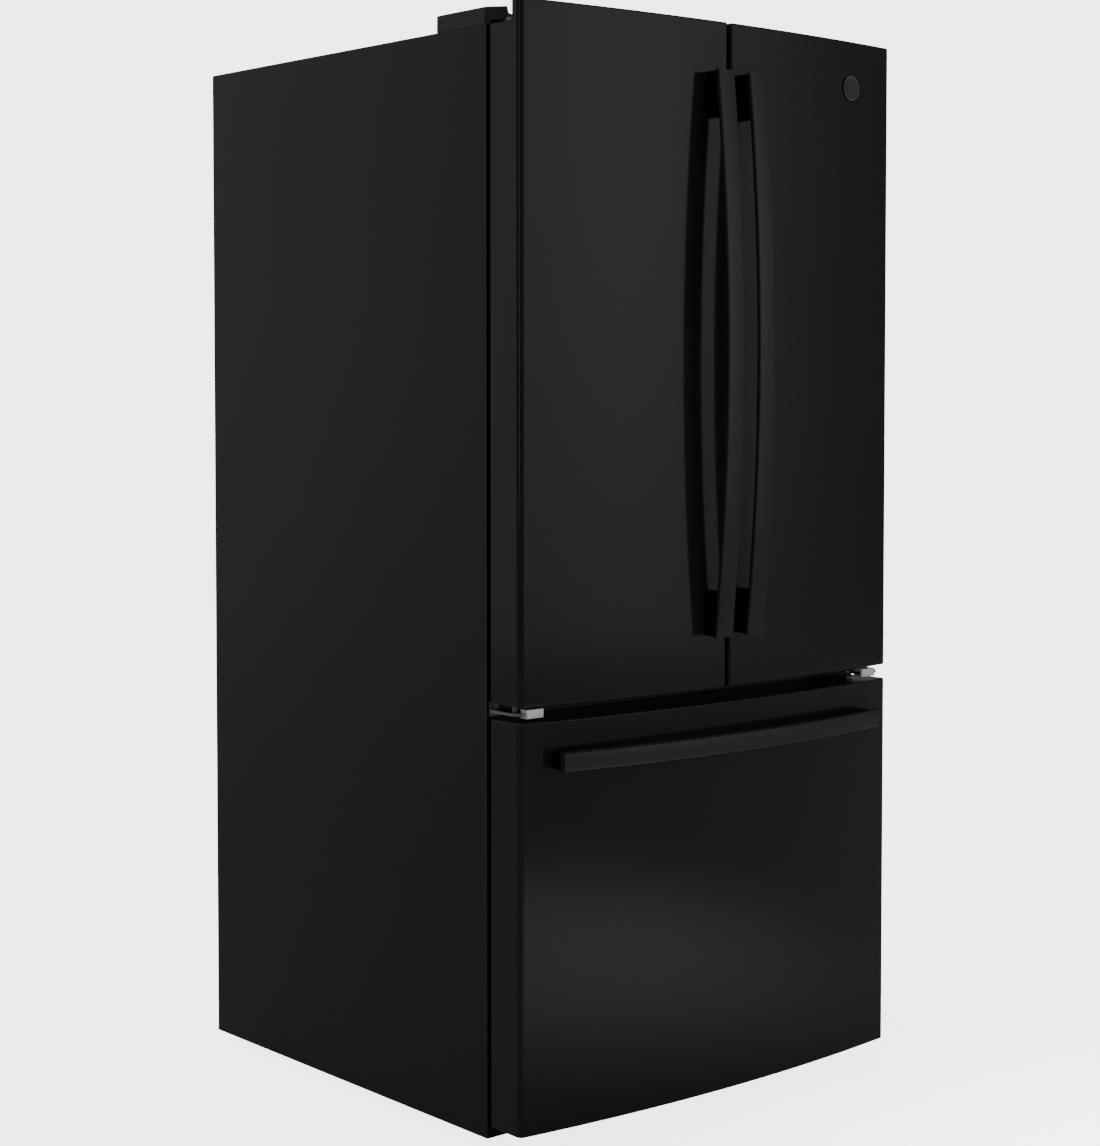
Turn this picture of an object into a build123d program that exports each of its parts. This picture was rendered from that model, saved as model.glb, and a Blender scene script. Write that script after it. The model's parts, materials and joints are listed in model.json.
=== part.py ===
from build123d import *
import math
import os

# French door refrigerator with a bottom freezer drawer. Millimetres, +Z up, the front faces -Y.
# The origin is on the floor, at the middle of the width and of the whole depth.

# --- Driving dimensions: case ---
CASE_W = 832.0
CASE_D = 782.0
CASE_H = 1724.5
FLOOR_GAP = 20.0
CASE_SHEET = 1.0
CASE_CORNER = 4.0
FLANGE_W = 30.0
SIDE_WALL = 50.0
TOP_WALL = 60.0
BACK_WALL = 60.0
FREEZER_FLOOR = 70.0
MULLION_H = 61.0
LINER = 1.5
CAVITY_CORNER = 30.0
PANEL_RECESS = 3.0
MACHINE_H = 240.0
MACHINE_D = 250.0
MACHINE_WALL = 14.0
BASE_RECESS_H = 30.0
BASE_RECESS_WALL = 31.0
DECK_LIFT = 12.0

# --- Driving dimensions: doors and drawer ---
GASKET_GAP = 10.0
DOOR_EDGE = 69.1
DOOR_BOW = 27.5
DOOR_SHEET = 1.0
DOOR_CORNER = 10.0
GAP_CORNER = 4.0
EDGE_ROUND = 2.5
GASKET_INSET = 22.0
GASKET_W = 12.0
GASKET_BASE_T = 4.0
BULB_W = 8.0
BULB_GAP = 0.5
CENTRE_GAP = 8.0
DOOR_RISE = 30.7
DOOR_GAP = 24.4
DRAWER_LIFT = 19.8
DRAWER_H = 638.8
DRAWER_TRAVEL = 420.0

# --- Driving dimensions: hinges ---
HINGE_INSET = 18.0
HINGE_SETBACK = 47.0
PIN_R = 5.0
PIN_FIT = 0.05
PIN_DEPTH = 16.0
ARM_R = 13.0
TOP_ARM_T = 4.5
NOTCH_DROP = 2.0
NOTCH_W = 90.0
NOTCH_FIT = 2.1

# --- Driving dimensions: handles ---
BAR_W = 36.0
BAR_T = 7.0
BAR_INNER_X = 17.0
BAR_LOW = 85.0
BAR_HIGH = 81.0
BAR_END_OFF = 29.0
BAR_MID_OFF = 55.0
POST_INSET = 2.0
POST_L = 72.0
PULL_HALF = 358.0
PULL_H = 30.0
PULL_T = 11.0
PULL_DROP = 45.6
PULL_END_OFF = 31.0
PULL_MID_OFF = 42.0
PULL_POST_L = 46.0
PULL_POST_INSET = 2.5
BADGE_X = 304.0
BADGE_R = 21.0
BADGE_T = 2.0
BADGE_DROP = 79.2

# --- Driving dimensions: interior ---
DYKE_NEAR = 45.0
DYKE_SIDE_GAP = 6.0
DYKE_WALL = 19.0
DYKE_REACH = 35.0
DYKE_MARGIN = 14.0
BIN_REACH = 82.0
BIN_H = 105.0
BIN_WALL = 2.5
BIN_CORNER = 14.0
BIN_FIT = 1.0
LID_DROP = 35.0
LID_PIVOT = 6.0
LID_PIN_R = 2.0
CRISPER_FRONT = 100.0
CRISPER_D = 500.0
CRISPER_H = 168.0
CRISPER_SIDE_GAP = 26.0
CRISPER_WALL = 2.5
CRISPER_FIT = 3.0
COVER_H = 16.0
COVER_D = 545.0
SHELF_FRONT = 100.0
SHELF_H = 14.0
SHELF_RIM = 12.0
SHELF_LEDGE = 6.0
GLASS_T = 4.0
SHELF_STAGGER = 24.0
TRACK_FRONT = 700.0
TRACK_T = 6.0
DUCT_T = 14.0
DUCT_HALF = 330.0
FREEZER_LOW_D = 480.0
FREEZER_STEP = 290.0
EVAP_COVER_Y = 600.0
EVAP_COVER_T = 3.0
RAIL_L = 460.0
RAIL_H = 44.0
RAIL_LOW = 346.0
RIB_LOW = 470.0
RIB_T = 6.0
RIB_W = 12.0
BASKET_WALL = 2.5
PAD_MARGIN = 24.0
PAD_REACH = 8.0

# --- Driving dimensions: flipper, feet and machinery ---
FLIPPER_T = 16.0
FLIPPER_L = 60.0
FLIPPER_X = 30.0
FLIPPER_GAP = 0.6
FLIPPER_PIN_R = 3.0
LUG_T = 6.0
LEG_X = 346.0
LEG_SETBACK = 72.0
STEM_R = 6.0
ROLLER_R = 20.0
ROLLER_W = 22.0
AXLE_R = 4.0
ROLLER_SETBACK = 82.0
FAN_R = 52.0
EVAP_FAN_R = 42.0
SHAFT_R = 3.0
RUNNING_FIT = 0.05

# --- Worked out from the driving dimensions ---
HALF_W = CASE_W / 2
REACH = GASKET_GAP + DOOR_EDGE + DOOR_BOW + BAR_MID_OFF
FRONT = (REACH - CASE_D) / 2
BACK = FRONT + CASE_D
BASE = FLOOR_GAP
TOP = BASE + CASE_H
CAVITY_X = HALF_W - SIDE_WALL
CAVITY_D = CASE_D - BACK_WALL
MACHINE_X = HALF_W - CASE_SHEET - MACHINE_WALL
MACHINE_TOP = BASE + MACHINE_H
DECK = BASE + DECK_LIFT
PANEL_Y = (BACK - PANEL_RECESS - CASE_SHEET, BACK - PANEL_RECESS)
DOOR_BACK = FRONT - GASKET_GAP
DOOR_FACE = DOOR_BACK - DOOR_EDGE
APEX = DOOR_FACE - DOOR_BOW
BOW_R = (HALF_W ** 2 + DOOR_BOW ** 2) / (2 * DOOR_BOW)
DRAWER_Z = (BASE + DRAWER_LIFT, BASE + DRAWER_LIFT + DRAWER_H)
DOOR_Z = (DRAWER_Z[1] + DOOR_GAP, TOP + DOOR_RISE)
RAIL_MID = DRAWER_Z[1] + DOOR_GAP / 2
FREEZER_Z = (BASE + FREEZER_FLOOR, RAIL_MID - MULLION_H / 2)
FRESH_Z = (RAIL_MID + MULLION_H / 2, TOP - TOP_WALL)
HINGE_X = HALF_W - HINGE_INSET
HINGE_Y = FRONT - HINGE_SETBACK
DYKE_X = (DYKE_NEAR, CAVITY_X - DYKE_SIDE_GAP)
DYKE_Z = (FRESH_Z[0] + DYKE_MARGIN, FRESH_Z[1] - DYKE_MARGIN)
BIN_X = (DYKE_X[0] + DYKE_WALL + BIN_FIT, DYKE_X[1] - DYKE_WALL - BIN_FIT)
CRISPER_X = (2 * CRISPER_FIT, CAVITY_X - CRISPER_SIDE_GAP)
CRISPER_Z = (FRESH_Z[0] + LINER + CRISPER_FIT, FRESH_Z[0] + LINER + CRISPER_FIT + CRISPER_H)
COVER_Z = (CRISPER_Z[1] + 2 * CRISPER_FIT, CRISPER_Z[1] + 2 * CRISPER_FIT + COVER_H)
LEFT = -1
RIGHT = 1

os.makedirs("parts", exist_ok=True)


def export(piece, name):
    """Label a finished piece and write its STEP file."""
    piece.part.label = name
    export_step(piece.part, f"parts/{name}.step")


def across(side, near, far):
    """Return the x range between two distances from the centre line, on one side of it."""
    return tuple(sorted((side * near, side * far)))


def inward(near, far):
    """Return the y range between two depths behind the case front."""
    return FRONT + near, FRONT + far


def slab(x, y, z, mode=Mode.ADD):
    """Add or cut a box between its low and high coordinates."""
    with Locations(((x[0] + x[1]) / 2, (y[0] + y[1]) / 2, (z[0] + z[1]) / 2)):
        Box(x[1] - x[0], y[1] - y[0], z[1] - z[0], mode=mode)


def rod(radius, start, end, mode=Mode.ADD):
    """Add or cut a cylinder between two points."""
    axis = Vector(*end) - Vector(*start)
    with BuildSketch(Plane(origin=start, z_dir=axis.normalized())) as section:
        Circle(radius)
    extrude(section.sketch, amount=axis.length, mode=mode)


def tray(x, y, z, wall, corner):
    """Add an open-topped box with rounded upright corners."""
    size = x[1] - x[0], y[1] - y[0]
    middle = (x[0] + x[1]) / 2, (y[0] + y[1]) / 2
    with BuildSketch(Plane.XY.offset(z[0])) as outside:
        with Locations(middle):
            RectangleRounded(size[0], size[1], corner)
    extrude(outside.sketch, amount=z[1] - z[0])
    with BuildSketch(Plane.XY.offset(z[0] + wall)) as inside:
        with Locations(middle):
            RectangleRounded(size[0] - 2 * wall, size[1] - 2 * wall, corner - wall)
    extrude(inside.sketch, amount=z[1] - z[0], mode=Mode.SUBTRACT)


def frame_ring(x, z, width, y, mode=Mode.ADD):
    """Add or cut an upright rectangular ring, seen from the front, between two y planes."""
    with BuildSketch(Plane.XZ.offset(-y[1])) as ring:
        with Locations(((x[0] + x[1]) / 2, (z[0] + z[1]) / 2)):
            Rectangle(x[1] - x[0], z[1] - z[0])
            Rectangle(x[1] - x[0] - 2 * width, z[1] - z[0] - 2 * width, mode=Mode.SUBTRACT)
    extrude(ring.sketch, amount=y[1] - y[0], mode=mode)


def case_block(inset, y):
    """Add the case's outside, rounded along its two top edges and inset all round."""
    with BuildSketch(Plane.XZ.offset(-y[1])) as outline:
        with Locations((0, (BASE + TOP - inset) / 2)):
            Rectangle(CASE_W - 2 * inset, TOP - inset - BASE)
        fillet(outline.vertices().group_by(Axis.Y)[-1], CASE_CORNER - inset)
    extrude(outline.sketch, amount=y[1] - y[0])


def cavity(depth, z, inset=0.0, mode=Mode.ADD):
    """Add or cut a food compartment, open at the front and rounded at its two back corners."""
    with BuildSketch(Plane.XY.offset(z[0] + inset)) as plan:
        with Locations((0, FRONT + (depth - inset) / 2)):
            Rectangle(2 * (CAVITY_X - inset), depth - inset)
        fillet(plan.vertices().group_by(Axis.Y)[-1], CAVITY_CORNER - inset)
    extrude(plan.sketch, amount=z[1] - z[0] - 2 * inset, mode=mode)


def freezer_hollow(inset=0.0, mode=Mode.ADD):
    """Add or cut the freezer compartment, whose floor steps up over the machine compartment."""
    cavity(FREEZER_LOW_D, FREEZER_Z, inset, mode)
    cavity(CAVITY_D, (BASE + FREEZER_STEP, FREEZER_Z[1]), inset, mode)


def export_cabinet_shells():
    """Make the case wrapper, back panel, foam body, both liners, and the rail between them."""
    with BuildPart() as wrapper:
        case_block(0, (FRONT, BACK))
    with BuildPart() as inside:
        case_block(CASE_SHEET, (FRONT + CASE_SHEET, BACK))
    with BuildPart() as case_wrapper:
        add(wrapper.part)
        add(inside.part, mode=Mode.SUBTRACT)
        window = HALF_W - FLANGE_W
        window_z = (BASE + FREEZER_FLOOR - FLANGE_W, TOP - FLANGE_W)
        slab((-window, window), (FRONT, FRONT + CASE_SHEET), window_z, Mode.SUBTRACT)
    export(case_wrapper, "case_wrapper")

    recess_x = HALF_W - BASE_RECESS_WALL
    with BuildPart() as cabinet_foam:
        case_block(CASE_SHEET, (FRONT + LINER, PANEL_Y[0]))
        cavity(CAVITY_D, FRESH_Z, mode=Mode.SUBTRACT)
        freezer_hollow(mode=Mode.SUBTRACT)
        slab((-MACHINE_X, MACHINE_X), (BACK - MACHINE_D, BACK), (BASE, MACHINE_TOP), Mode.SUBTRACT)
        slab((-recess_x, recess_x), (FRONT, BACK), (BASE, BASE + BASE_RECESS_H), Mode.SUBTRACT)
    export(cabinet_foam, "cabinet_foam")

    with BuildPart() as back_panel:
        edge = HALF_W - CASE_SHEET
        slab((-edge, edge), PANEL_Y, (MACHINE_TOP, TOP - CASE_CORNER))
    export(back_panel, "back_panel")

    flange_x = HALF_W - FLANGE_W
    with BuildPart() as fresh_food_liner:
        slab((-flange_x, flange_x), (FRONT, FRONT + LINER), (FRESH_Z[0], TOP - FLANGE_W))
        cavity(CAVITY_D, FRESH_Z)
        cavity(CAVITY_D, FRESH_Z, LINER, Mode.SUBTRACT)
    export(fresh_food_liner, "fresh_food_liner")

    rib_z = (BASE + RIB_LOW, BASE + RIB_LOW + RIB_T)
    with BuildPart() as freezer_liner:
        slab((-flange_x, flange_x), (FRONT, FRONT + LINER), (BASE + FREEZER_FLOOR - FLANGE_W, FREEZER_Z[1]))
        freezer_hollow()
        freezer_hollow(LINER, Mode.SUBTRACT)
        for side in (LEFT, RIGHT):
            rib_x = across(side, CAVITY_X - LINER - RIB_W, CAVITY_X - LINER)
            slab(rib_x, inward(20, EVAP_COVER_Y - 8), rib_z)
    export(freezer_liner, "freezer_liner")

    with BuildPart() as centre_rail:
        slab((-flange_x, flange_x), (FRONT, FRONT + LINER), (FREEZER_Z[1], FRESH_Z[0]))
    export(centre_rail, "centre_rail")


def door_outline(plan, x, back, inset, rounds):
    """Draw a door's plan: flat back, straight sides, and the front bowed across the whole case."""
    with Locations(((x[0] + x[1]) / 2, (APEX - DOOR_BOW + back) / 2)):
        Rectangle(x[1] - x[0] - 2 * inset, back - APEX + DOOR_BOW)
    with Locations((0, APEX + BOW_R)):
        Circle(BOW_R - inset, mode=Mode.INTERSECT)
    fillet(plan.vertices().sort_by(Axis.X)[:2].sort_by(Axis.Y)[0], rounds[0] - inset)
    fillet(plan.vertices().sort_by(Axis.X)[-2:].sort_by(Axis.Y)[0], rounds[1] - inset)


def door_prism(x, z, back, inset, rounds):
    """Add a door's block with its front edges rounded at top and bottom."""
    with BuildSketch(Plane.XY.offset(z[0] + inset)) as plan:
        door_outline(plan, x, back, inset, rounds)
    block = extrude(plan.sketch, amount=z[1] - z[0] - 2 * inset)
    ends = block.edges().group_by(Axis.Z)[0] + block.edges().group_by(Axis.Z)[-1]
    fillet(ends.filter_by(lambda edge: edge.center().Y < back - 0.55 * DOOR_EDGE), EDGE_ROUND - inset)


def notch(side, grow, mode=Mode.SUBTRACT):
    """Cut the step at a door's top outer back corner that leaves room for the top hinge arm."""
    floor = TOP - NOTCH_DROP
    slab(
        across(side, HALF_W - NOTCH_W - grow, HALF_W + grow),
        (HINGE_Y - ARM_R - NOTCH_FIT - grow, DOOR_BACK + 2 * GASKET_GAP),
        (floor - grow, DOOR_Z[1] + grow),
        mode,
    )


def dyke(side, inset, y):
    """Add the ring that stands out of a door's liner into the cabinet."""
    x = across(side, DYKE_X[0] + inset, DYKE_X[1] - inset)
    z = (DYKE_Z[0] + inset, DYKE_Z[1] - inset)
    frame_ring(x, z, DYKE_WALL - 2 * inset, y)


def pin_bores(side, depth, z_low, z_high):
    """Cut the two hinge pin bores of an upper door."""
    x = side * HINGE_X
    for bottom in (z_low, z_high - depth):
        rod(PIN_R + PIN_FIT, (x, HINGE_Y, bottom), (x, HINGE_Y, bottom + depth), Mode.SUBTRACT)


def export_door_shell(side, name):
    """Make an upper door's skin, foam core, liner and gasket."""
    x = across(side, CENTRE_GAP / 2, HALF_W)
    rounds = (GAP_CORNER, DOOR_CORNER) if side == RIGHT else (DOOR_CORNER, GAP_CORNER)
    floor = TOP - NOTCH_DROP
    with BuildPart() as hollow:
        door_prism(x, DOOR_Z, DOOR_BACK + 1, DOOR_SHEET, rounds)
        notch(side, DOOR_SHEET)
    with BuildPart() as skin:
        door_prism(x, DOOR_Z, DOOR_BACK, 0, rounds)
        notch(side, 0)
        add(hollow.part, mode=Mode.SUBTRACT)
        pin_bores(side, PIN_DEPTH, DOOR_Z[0], floor)
    export(skin, f"{name}_skin")

    liner_y = DOOR_BACK - LINER
    with BuildPart() as foam:
        door_prism(x, DOOR_Z, liner_y, DOOR_SHEET, rounds)
        notch(side, DOOR_SHEET)
        dyke(side, LINER, (liner_y, FRONT + DYKE_REACH - LINER))
        pin_bores(side, PIN_DEPTH, DOOR_Z[0], floor)
    export(foam, f"{name}_foam")

    lug_x = across(side, FLIPPER_X - FLIPPER_T / 2, FLIPPER_X + FLIPPER_T / 2)
    lug_y = (DOOR_BACK, FRONT + FLIPPER_GAP + FLIPPER_T)
    with BuildPart() as liner:
        door_prism(x, DOOR_Z, DOOR_BACK, DOOR_SHEET, rounds)
        notch(side, DOOR_SHEET)
        pin_bores(side, PIN_DEPTH, DOOR_Z[0], floor)
        dyke(side, 0, (DOOR_BACK, FRONT + DYKE_REACH))
        add(foam.part, mode=Mode.SUBTRACT)
        if side == LEFT:
            for z in lug_heights():
                slab(lug_x, lug_y, z)
                rod(FLIPPER_PIN_R + RUNNING_FIT, flipper_axis(z[0]), flipper_axis(z[1]), Mode.SUBTRACT)
    export(liner, f"{name}_liner")

    gasket_x = across(side, CENTRE_GAP / 2 + 5, HALF_W - GASKET_INSET)
    export_gasket(gasket_x, (FRESH_Z[0] - 15, TOP - 15), f"{name}_gasket")


def export_gasket(x, z, name):
    """Make a door gasket: a flat base ring with a narrower magnetic bulb on it."""
    bulb_step = (GASKET_W - BULB_W) / 2
    bulb_x = (x[0] + bulb_step, x[1] - bulb_step)
    bulb_z = (z[0] + bulb_step, z[1] - bulb_step)
    bulb_back = DOOR_BACK + GASKET_BASE_T
    with BuildPart() as gasket:
        frame_ring(x, z, GASKET_W, (DOOR_BACK, bulb_back))
        frame_ring(bulb_x, bulb_z, BULB_W, (bulb_back, FRONT - BULB_GAP))
    export(gasket, name)


def door_face_at(x):
    """Return the y of the bowed door front at a distance from the centre line."""
    return APEX + BOW_R - math.sqrt(BOW_R ** 2 - x ** 2)


def export_door_handle(side, name):
    """Make an upper door's upright bowed handle bar and its two end posts."""
    low = DOOR_Z[0] + BAR_LOW
    high = DOOR_Z[1] - BAR_HIGH
    middle = (low + high) / 2
    base = door_face_at(BAR_INNER_X + BAR_W / 2)
    mid_off = base - (APEX - BAR_MID_OFF)
    near, far = BAR_INNER_X, BAR_INNER_X + BAR_W
    bar_plane = Plane.YZ.offset(min(across(side, near, far)))
    with BuildPart() as bar:
        with BuildSketch(bar_plane):
            with BuildLine():
                outer = ThreePointArc(
                    (base - BAR_END_OFF, low), (base - mid_off, middle), (base - BAR_END_OFF, high)
                )
                inner = ThreePointArc(
                    (base - BAR_END_OFF + BAR_T, low),
                    (base - mid_off + BAR_T, middle),
                    (base - BAR_END_OFF + BAR_T, high),
                )
                Line(outer @ 0, inner @ 0)
                Line(outer @ 1, inner @ 1)
            make_face()
        extrude(amount=BAR_W)
        long_edges = bar.edges().filter_by(GeomType.CIRCLE)
        fillet(long_edges.group_by(Axis.Y)[0], BAR_T / 3)
    export(bar, f"{name}_handle_bar")

    with BuildPart() as posts:
        with BuildSketch(Plane.YZ.offset(min(across(side, near + POST_INSET, far - POST_INSET)))):
            with BuildLine():
                ThreePointArc(inner @ 0, inner @ 0.5, inner @ 1)
                Polyline(inner @ 1, (DOOR_FACE, high), (DOOR_FACE, low), inner @ 0)
            make_face()
        extrude(amount=BAR_W - 2 * POST_INSET)
        openings = ((low + POST_L, high - POST_L), (low - 1, low + POST_INSET), (high - POST_INSET, high + 1))
        for z in openings:
            slab((-HALF_W, HALF_W), (APEX - REACH, DOOR_FACE + 1), z, Mode.SUBTRACT)
        rod(BOW_R, (0, APEX + BOW_R, low - 5), (0, APEX + BOW_R, high + 5), Mode.SUBTRACT)
    export(posts, f"{name}_handle_posts")


def lug_heights():
    """Return the z ranges of the flipper's lower and upper hinge lugs."""
    low = FRESH_Z[0] + DYKE_MARGIN
    high = FRESH_Z[1] - DYKE_MARGIN
    return (low, low + LUG_T), (high - LUG_T, high)


def flipper_axis(z):
    """Return a point on the flipper's pivot line."""
    return -FLIPPER_X, FRONT + FLIPPER_GAP + FLIPPER_T / 2, z


def export_flipper():
    """Make the folding mullion on the left door's free edge, with its pins, in its folded place."""
    lower, upper = lug_heights()
    z = (lower[1] + FLIPPER_GAP, upper[0] - FLIPPER_GAP)
    x, y, _ = flipper_axis(0)
    half = FLIPPER_T / 2
    with BuildPart() as flipper_mullion:
        with BuildSketch(Plane.XY.offset(z[0])):
            with Locations((x, y)):
                Circle(half)
            with Locations((x, y + (FLIPPER_L - half) / 2)):
                Rectangle(FLIPPER_T, FLIPPER_L - half)
        extrude(amount=z[1] - z[0])
        rod(FLIPPER_PIN_R, flipper_axis(lower[0] + 1), flipper_axis(upper[1] - 1))
    export(flipper_mullion, "flipper_mullion")


def shelf_room():
    """Return the clear height inside a door's dyke."""
    return DYKE_Z[0] + DYKE_WALL, DYKE_Z[1] - DYKE_WALL


def bin_floors(count):
    """Return the floor heights of a door's bins, evenly spaced inside the dyke."""
    low, high = shelf_room()
    pitch = (high - low) / count
    return [low + 8 + pitch * index for index in range(count)]


def export_bins(side, name, count):
    """Make a door's open bins. The right door also has a dairy box, whose lid is its own piece."""
    x = across(side, BIN_X[0], BIN_X[1])
    y = (DOOR_BACK, FRONT + BIN_REACH)
    with BuildPart() as bins:
        for floor in bin_floors(3)[:count]:
            tray(x, y, (floor, floor + BIN_H), BIN_WALL, BIN_CORNER)
        if count < 3:
            top = dairy_top()
            tray(x, y, (top - BIN_H, top), BIN_WALL, BIN_WALL + 1)
            inner_x = (x[0] + BIN_WALL, x[1] - BIN_WALL)
            slab(inner_x, (DOOR_BACK + 1, y[1] + 1), (top - LID_DROP - 1, top + 1), Mode.SUBTRACT)
            rod(
                LID_PIN_R + RUNNING_FIT,
                (x[0] - 1, FRONT + LID_PIVOT, top - LID_PIVOT),
                (x[1] + 1, FRONT + LID_PIVOT, top - LID_PIVOT),
                Mode.SUBTRACT,
            )
    export(bins, name)


def dairy_top():
    """Return the height of the dairy box's top, with room above it for the lid to swing up."""
    return shelf_room()[1] - BIN_REACH


def export_dairy_lid():
    """Make the dairy box's lid: a top plate, a front drop, two ears and their pins."""
    top = dairy_top()
    x = (BIN_X[0] + BIN_WALL + 0.5, BIN_X[1] - BIN_WALL - 0.5)
    front = FRONT + BIN_REACH
    pivot = (FRONT + LID_PIVOT, top - LID_PIVOT)
    with BuildPart() as dairy_lid:
        slab(x, (pivot[0] - 4, front), (top - BIN_WALL, top))
        slab(x, (front - BIN_WALL, front), (top - LID_DROP, top))
        for ear in ((x[0], x[0] + 3), (x[1] - 3, x[1])):
            slab(ear, (pivot[0] - 4, pivot[0] + 4), (pivot[1] - 4, top))
        rod(LID_PIN_R, (x[0] - 2.5, *pivot), (x[0] + 1, *pivot))
        rod(LID_PIN_R, (x[1] - 1, *pivot), (x[1] + 2.5, *pivot))
    export(dairy_lid, "dairy_lid")


def export_badge():
    """Make the plain round badge that stands tangent to the right door's bowed front."""
    y = door_face_at(BADGE_X)
    outward = Vector(BADGE_X, y - APEX - BOW_R, 0).normalized()
    centre = (BADGE_X, y, DOOR_Z[1] - BADGE_DROP)
    face = Plane(origin=centre, x_dir=(-outward.Y, outward.X, 0), z_dir=outward)
    with BuildPart(face.offset(0.02)) as badge:
        Cylinder(BADGE_R, BADGE_T, align=(Align.CENTER, Align.CENTER, Align.MIN))
        with BuildSketch(face.offset(BADGE_T - 0.6)):
            Circle(BADGE_R - 2.0)
            Circle(BADGE_R - 5.0, mode=Mode.SUBTRACT)
        extrude(amount=1, mode=Mode.SUBTRACT)
    export(badge, "badge")


def export_drawer():
    """Make the freezer drawer's skin, foam core, liner, gasket, handle, side arms and lower basket."""
    x = (-HALF_W, HALF_W)
    rounds = (DOOR_CORNER, DOOR_CORNER)
    liner_y = DOOR_BACK - LINER
    pad_x = CAVITY_X - PAD_MARGIN
    pad_z = (FREEZER_Z[0] + PAD_MARGIN, FREEZER_Z[1] - PAD_MARGIN)
    pad_back = DOOR_BACK + PAD_REACH
    with BuildPart() as hollow:
        door_prism(x, DRAWER_Z, DOOR_BACK + 1, DOOR_SHEET, rounds)
    with BuildPart() as skin:
        door_prism(x, DRAWER_Z, DOOR_BACK, 0, rounds)
        add(hollow.part, mode=Mode.SUBTRACT)
    export(skin, "drawer_skin")
    with BuildPart() as foam:
        door_prism(x, DRAWER_Z, liner_y, DOOR_SHEET, rounds)
        core_z = (pad_z[0] + LINER, pad_z[1] - LINER)
        slab((-pad_x + LINER, pad_x - LINER), (liner_y - 1, pad_back - LINER), core_z)
    export(foam, "drawer_foam")
    with BuildPart() as liner:
        door_prism(x, DRAWER_Z, DOOR_BACK, DOOR_SHEET, rounds)
        slab((-pad_x, pad_x), (DOOR_BACK, pad_back), pad_z)
        add(foam.part, mode=Mode.SUBTRACT)
    export(liner, "drawer_liner")
    gasket_x = HALF_W - GASKET_INSET
    export_gasket((-gasket_x, gasket_x), (FREEZER_Z[0] - 35, FREEZER_Z[1] + 14), "drawer_gasket")
    export_drawer_handle()

    arm_z = (BASE + RAIL_LOW + 11, BASE + RAIL_LOW + RAIL_H - 11)
    arm_x = (CAVITY_X - 29, CAVITY_X - 21)
    with BuildPart() as drawer_frame:
        for side in (LEFT, RIGHT):
            slab(across(side, *arm_x), (pad_back, FRONT + RAIL_L), arm_z)
            slab(across(side, arm_x[1], CAVITY_X - 13), inward(20, RAIL_L), arm_z)
        slab((-arm_x[0], arm_x[0]), inward(RAIL_L - 10, RAIL_L), arm_z)
    export(drawer_frame, "drawer_frame")

    basket_x = arm_x[0] - 7
    rim_z = (arm_z[1], arm_z[1] + 4)
    with BuildPart() as lower_basket:
        tray((-basket_x, basket_x), inward(20, RAIL_L - 20), (FREEZER_Z[0] + 15, rim_z[1]), BASKET_WALL, 20)
        for side in (LEFT, RIGHT):
            slab(across(side, basket_x - BASKET_WALL, arm_x[1]), inward(45, RAIL_L - 45), rim_z)
    export(lower_basket, "lower_basket")


def export_drawer_handle():
    """Make the freezer drawer's level bowed pull and its two end posts."""
    low = DRAWER_Z[1] - PULL_DROP - PULL_H
    end_y = door_face_at(PULL_HALF) - PULL_END_OFF
    mid_y = APEX - PULL_MID_OFF
    with BuildPart() as bar:
        with BuildSketch(Plane.XY.offset(low)):
            with BuildLine():
                outer = ThreePointArc((-PULL_HALF, end_y), (0, mid_y), (PULL_HALF, end_y))
                inner = ThreePointArc(
                    (-PULL_HALF, end_y + PULL_T), (0, mid_y + PULL_T), (PULL_HALF, end_y + PULL_T)
                )
                Line(outer @ 0, inner @ 0)
                Line(outer @ 1, inner @ 1)
            make_face()
        extrude(amount=PULL_H)
        fillet(bar.edges().filter_by(GeomType.CIRCLE).sort_by(lambda edge: edge.center().Y)[:2], PULL_T / 4)
    export(bar, "drawer_handle_bar")

    with BuildPart() as posts:
        with BuildSketch(Plane.XY.offset(low + PULL_POST_INSET)):
            with BuildLine():
                ThreePointArc(inner @ 0, inner @ 0.5, inner @ 1)
                Polyline(inner @ 1, (PULL_HALF, DOOR_FACE), (-PULL_HALF, DOOR_FACE), inner @ 0)
            make_face()
        extrude(amount=PULL_H - 2 * PULL_POST_INSET)
        clear_x = PULL_HALF - PULL_POST_L
        slab((-clear_x, clear_x), (APEX - REACH, DOOR_FACE + 1), DRAWER_Z, Mode.SUBTRACT)
        for side in (LEFT, RIGHT):
            end = across(side, PULL_HALF - PULL_POST_INSET, PULL_HALF + 1)
            slab(end, (APEX - REACH, DOOR_FACE + 1), DRAWER_Z, Mode.SUBTRACT)
        rod(BOW_R, (0, APEX + BOW_R, DRAWER_Z[0]), (0, APEX + BOW_R, DRAWER_Z[1]), Mode.SUBTRACT)
    export(posts, "drawer_handle_posts")


def channel(side, x, z, thick, y):
    """Add a slide channel that opens towards the centre line."""
    slab(across(side, x[0], x[1]), y, z)
    slab(across(side, x[0] - 1, x[1] - thick), y, (z[0] + thick, z[1] - thick), Mode.SUBTRACT)


def export_slides():
    """Make the drawer's fixed rails and the middle slide members that run half its travel."""
    wall = CAVITY_X - LINER
    low = BASE + RAIL_LOW
    with BuildPart() as drawer_rails:
        for side in (LEFT, RIGHT):
            channel(side, (CAVITY_X - 14, wall), (low, low + RAIL_H), 2.0, inward(8, 8 + RAIL_L))
    export(drawer_rails, "drawer_rails")
    with BuildPart() as slide_members:
        for side in (LEFT, RIGHT):
            member_z = (low + 5, low + RAIL_H - 5)
            channel(side, (CAVITY_X - 19, CAVITY_X - 9), member_z, 2.0, inward(14, 6 + RAIL_L))
    export(slide_members, "slide_members")


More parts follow.
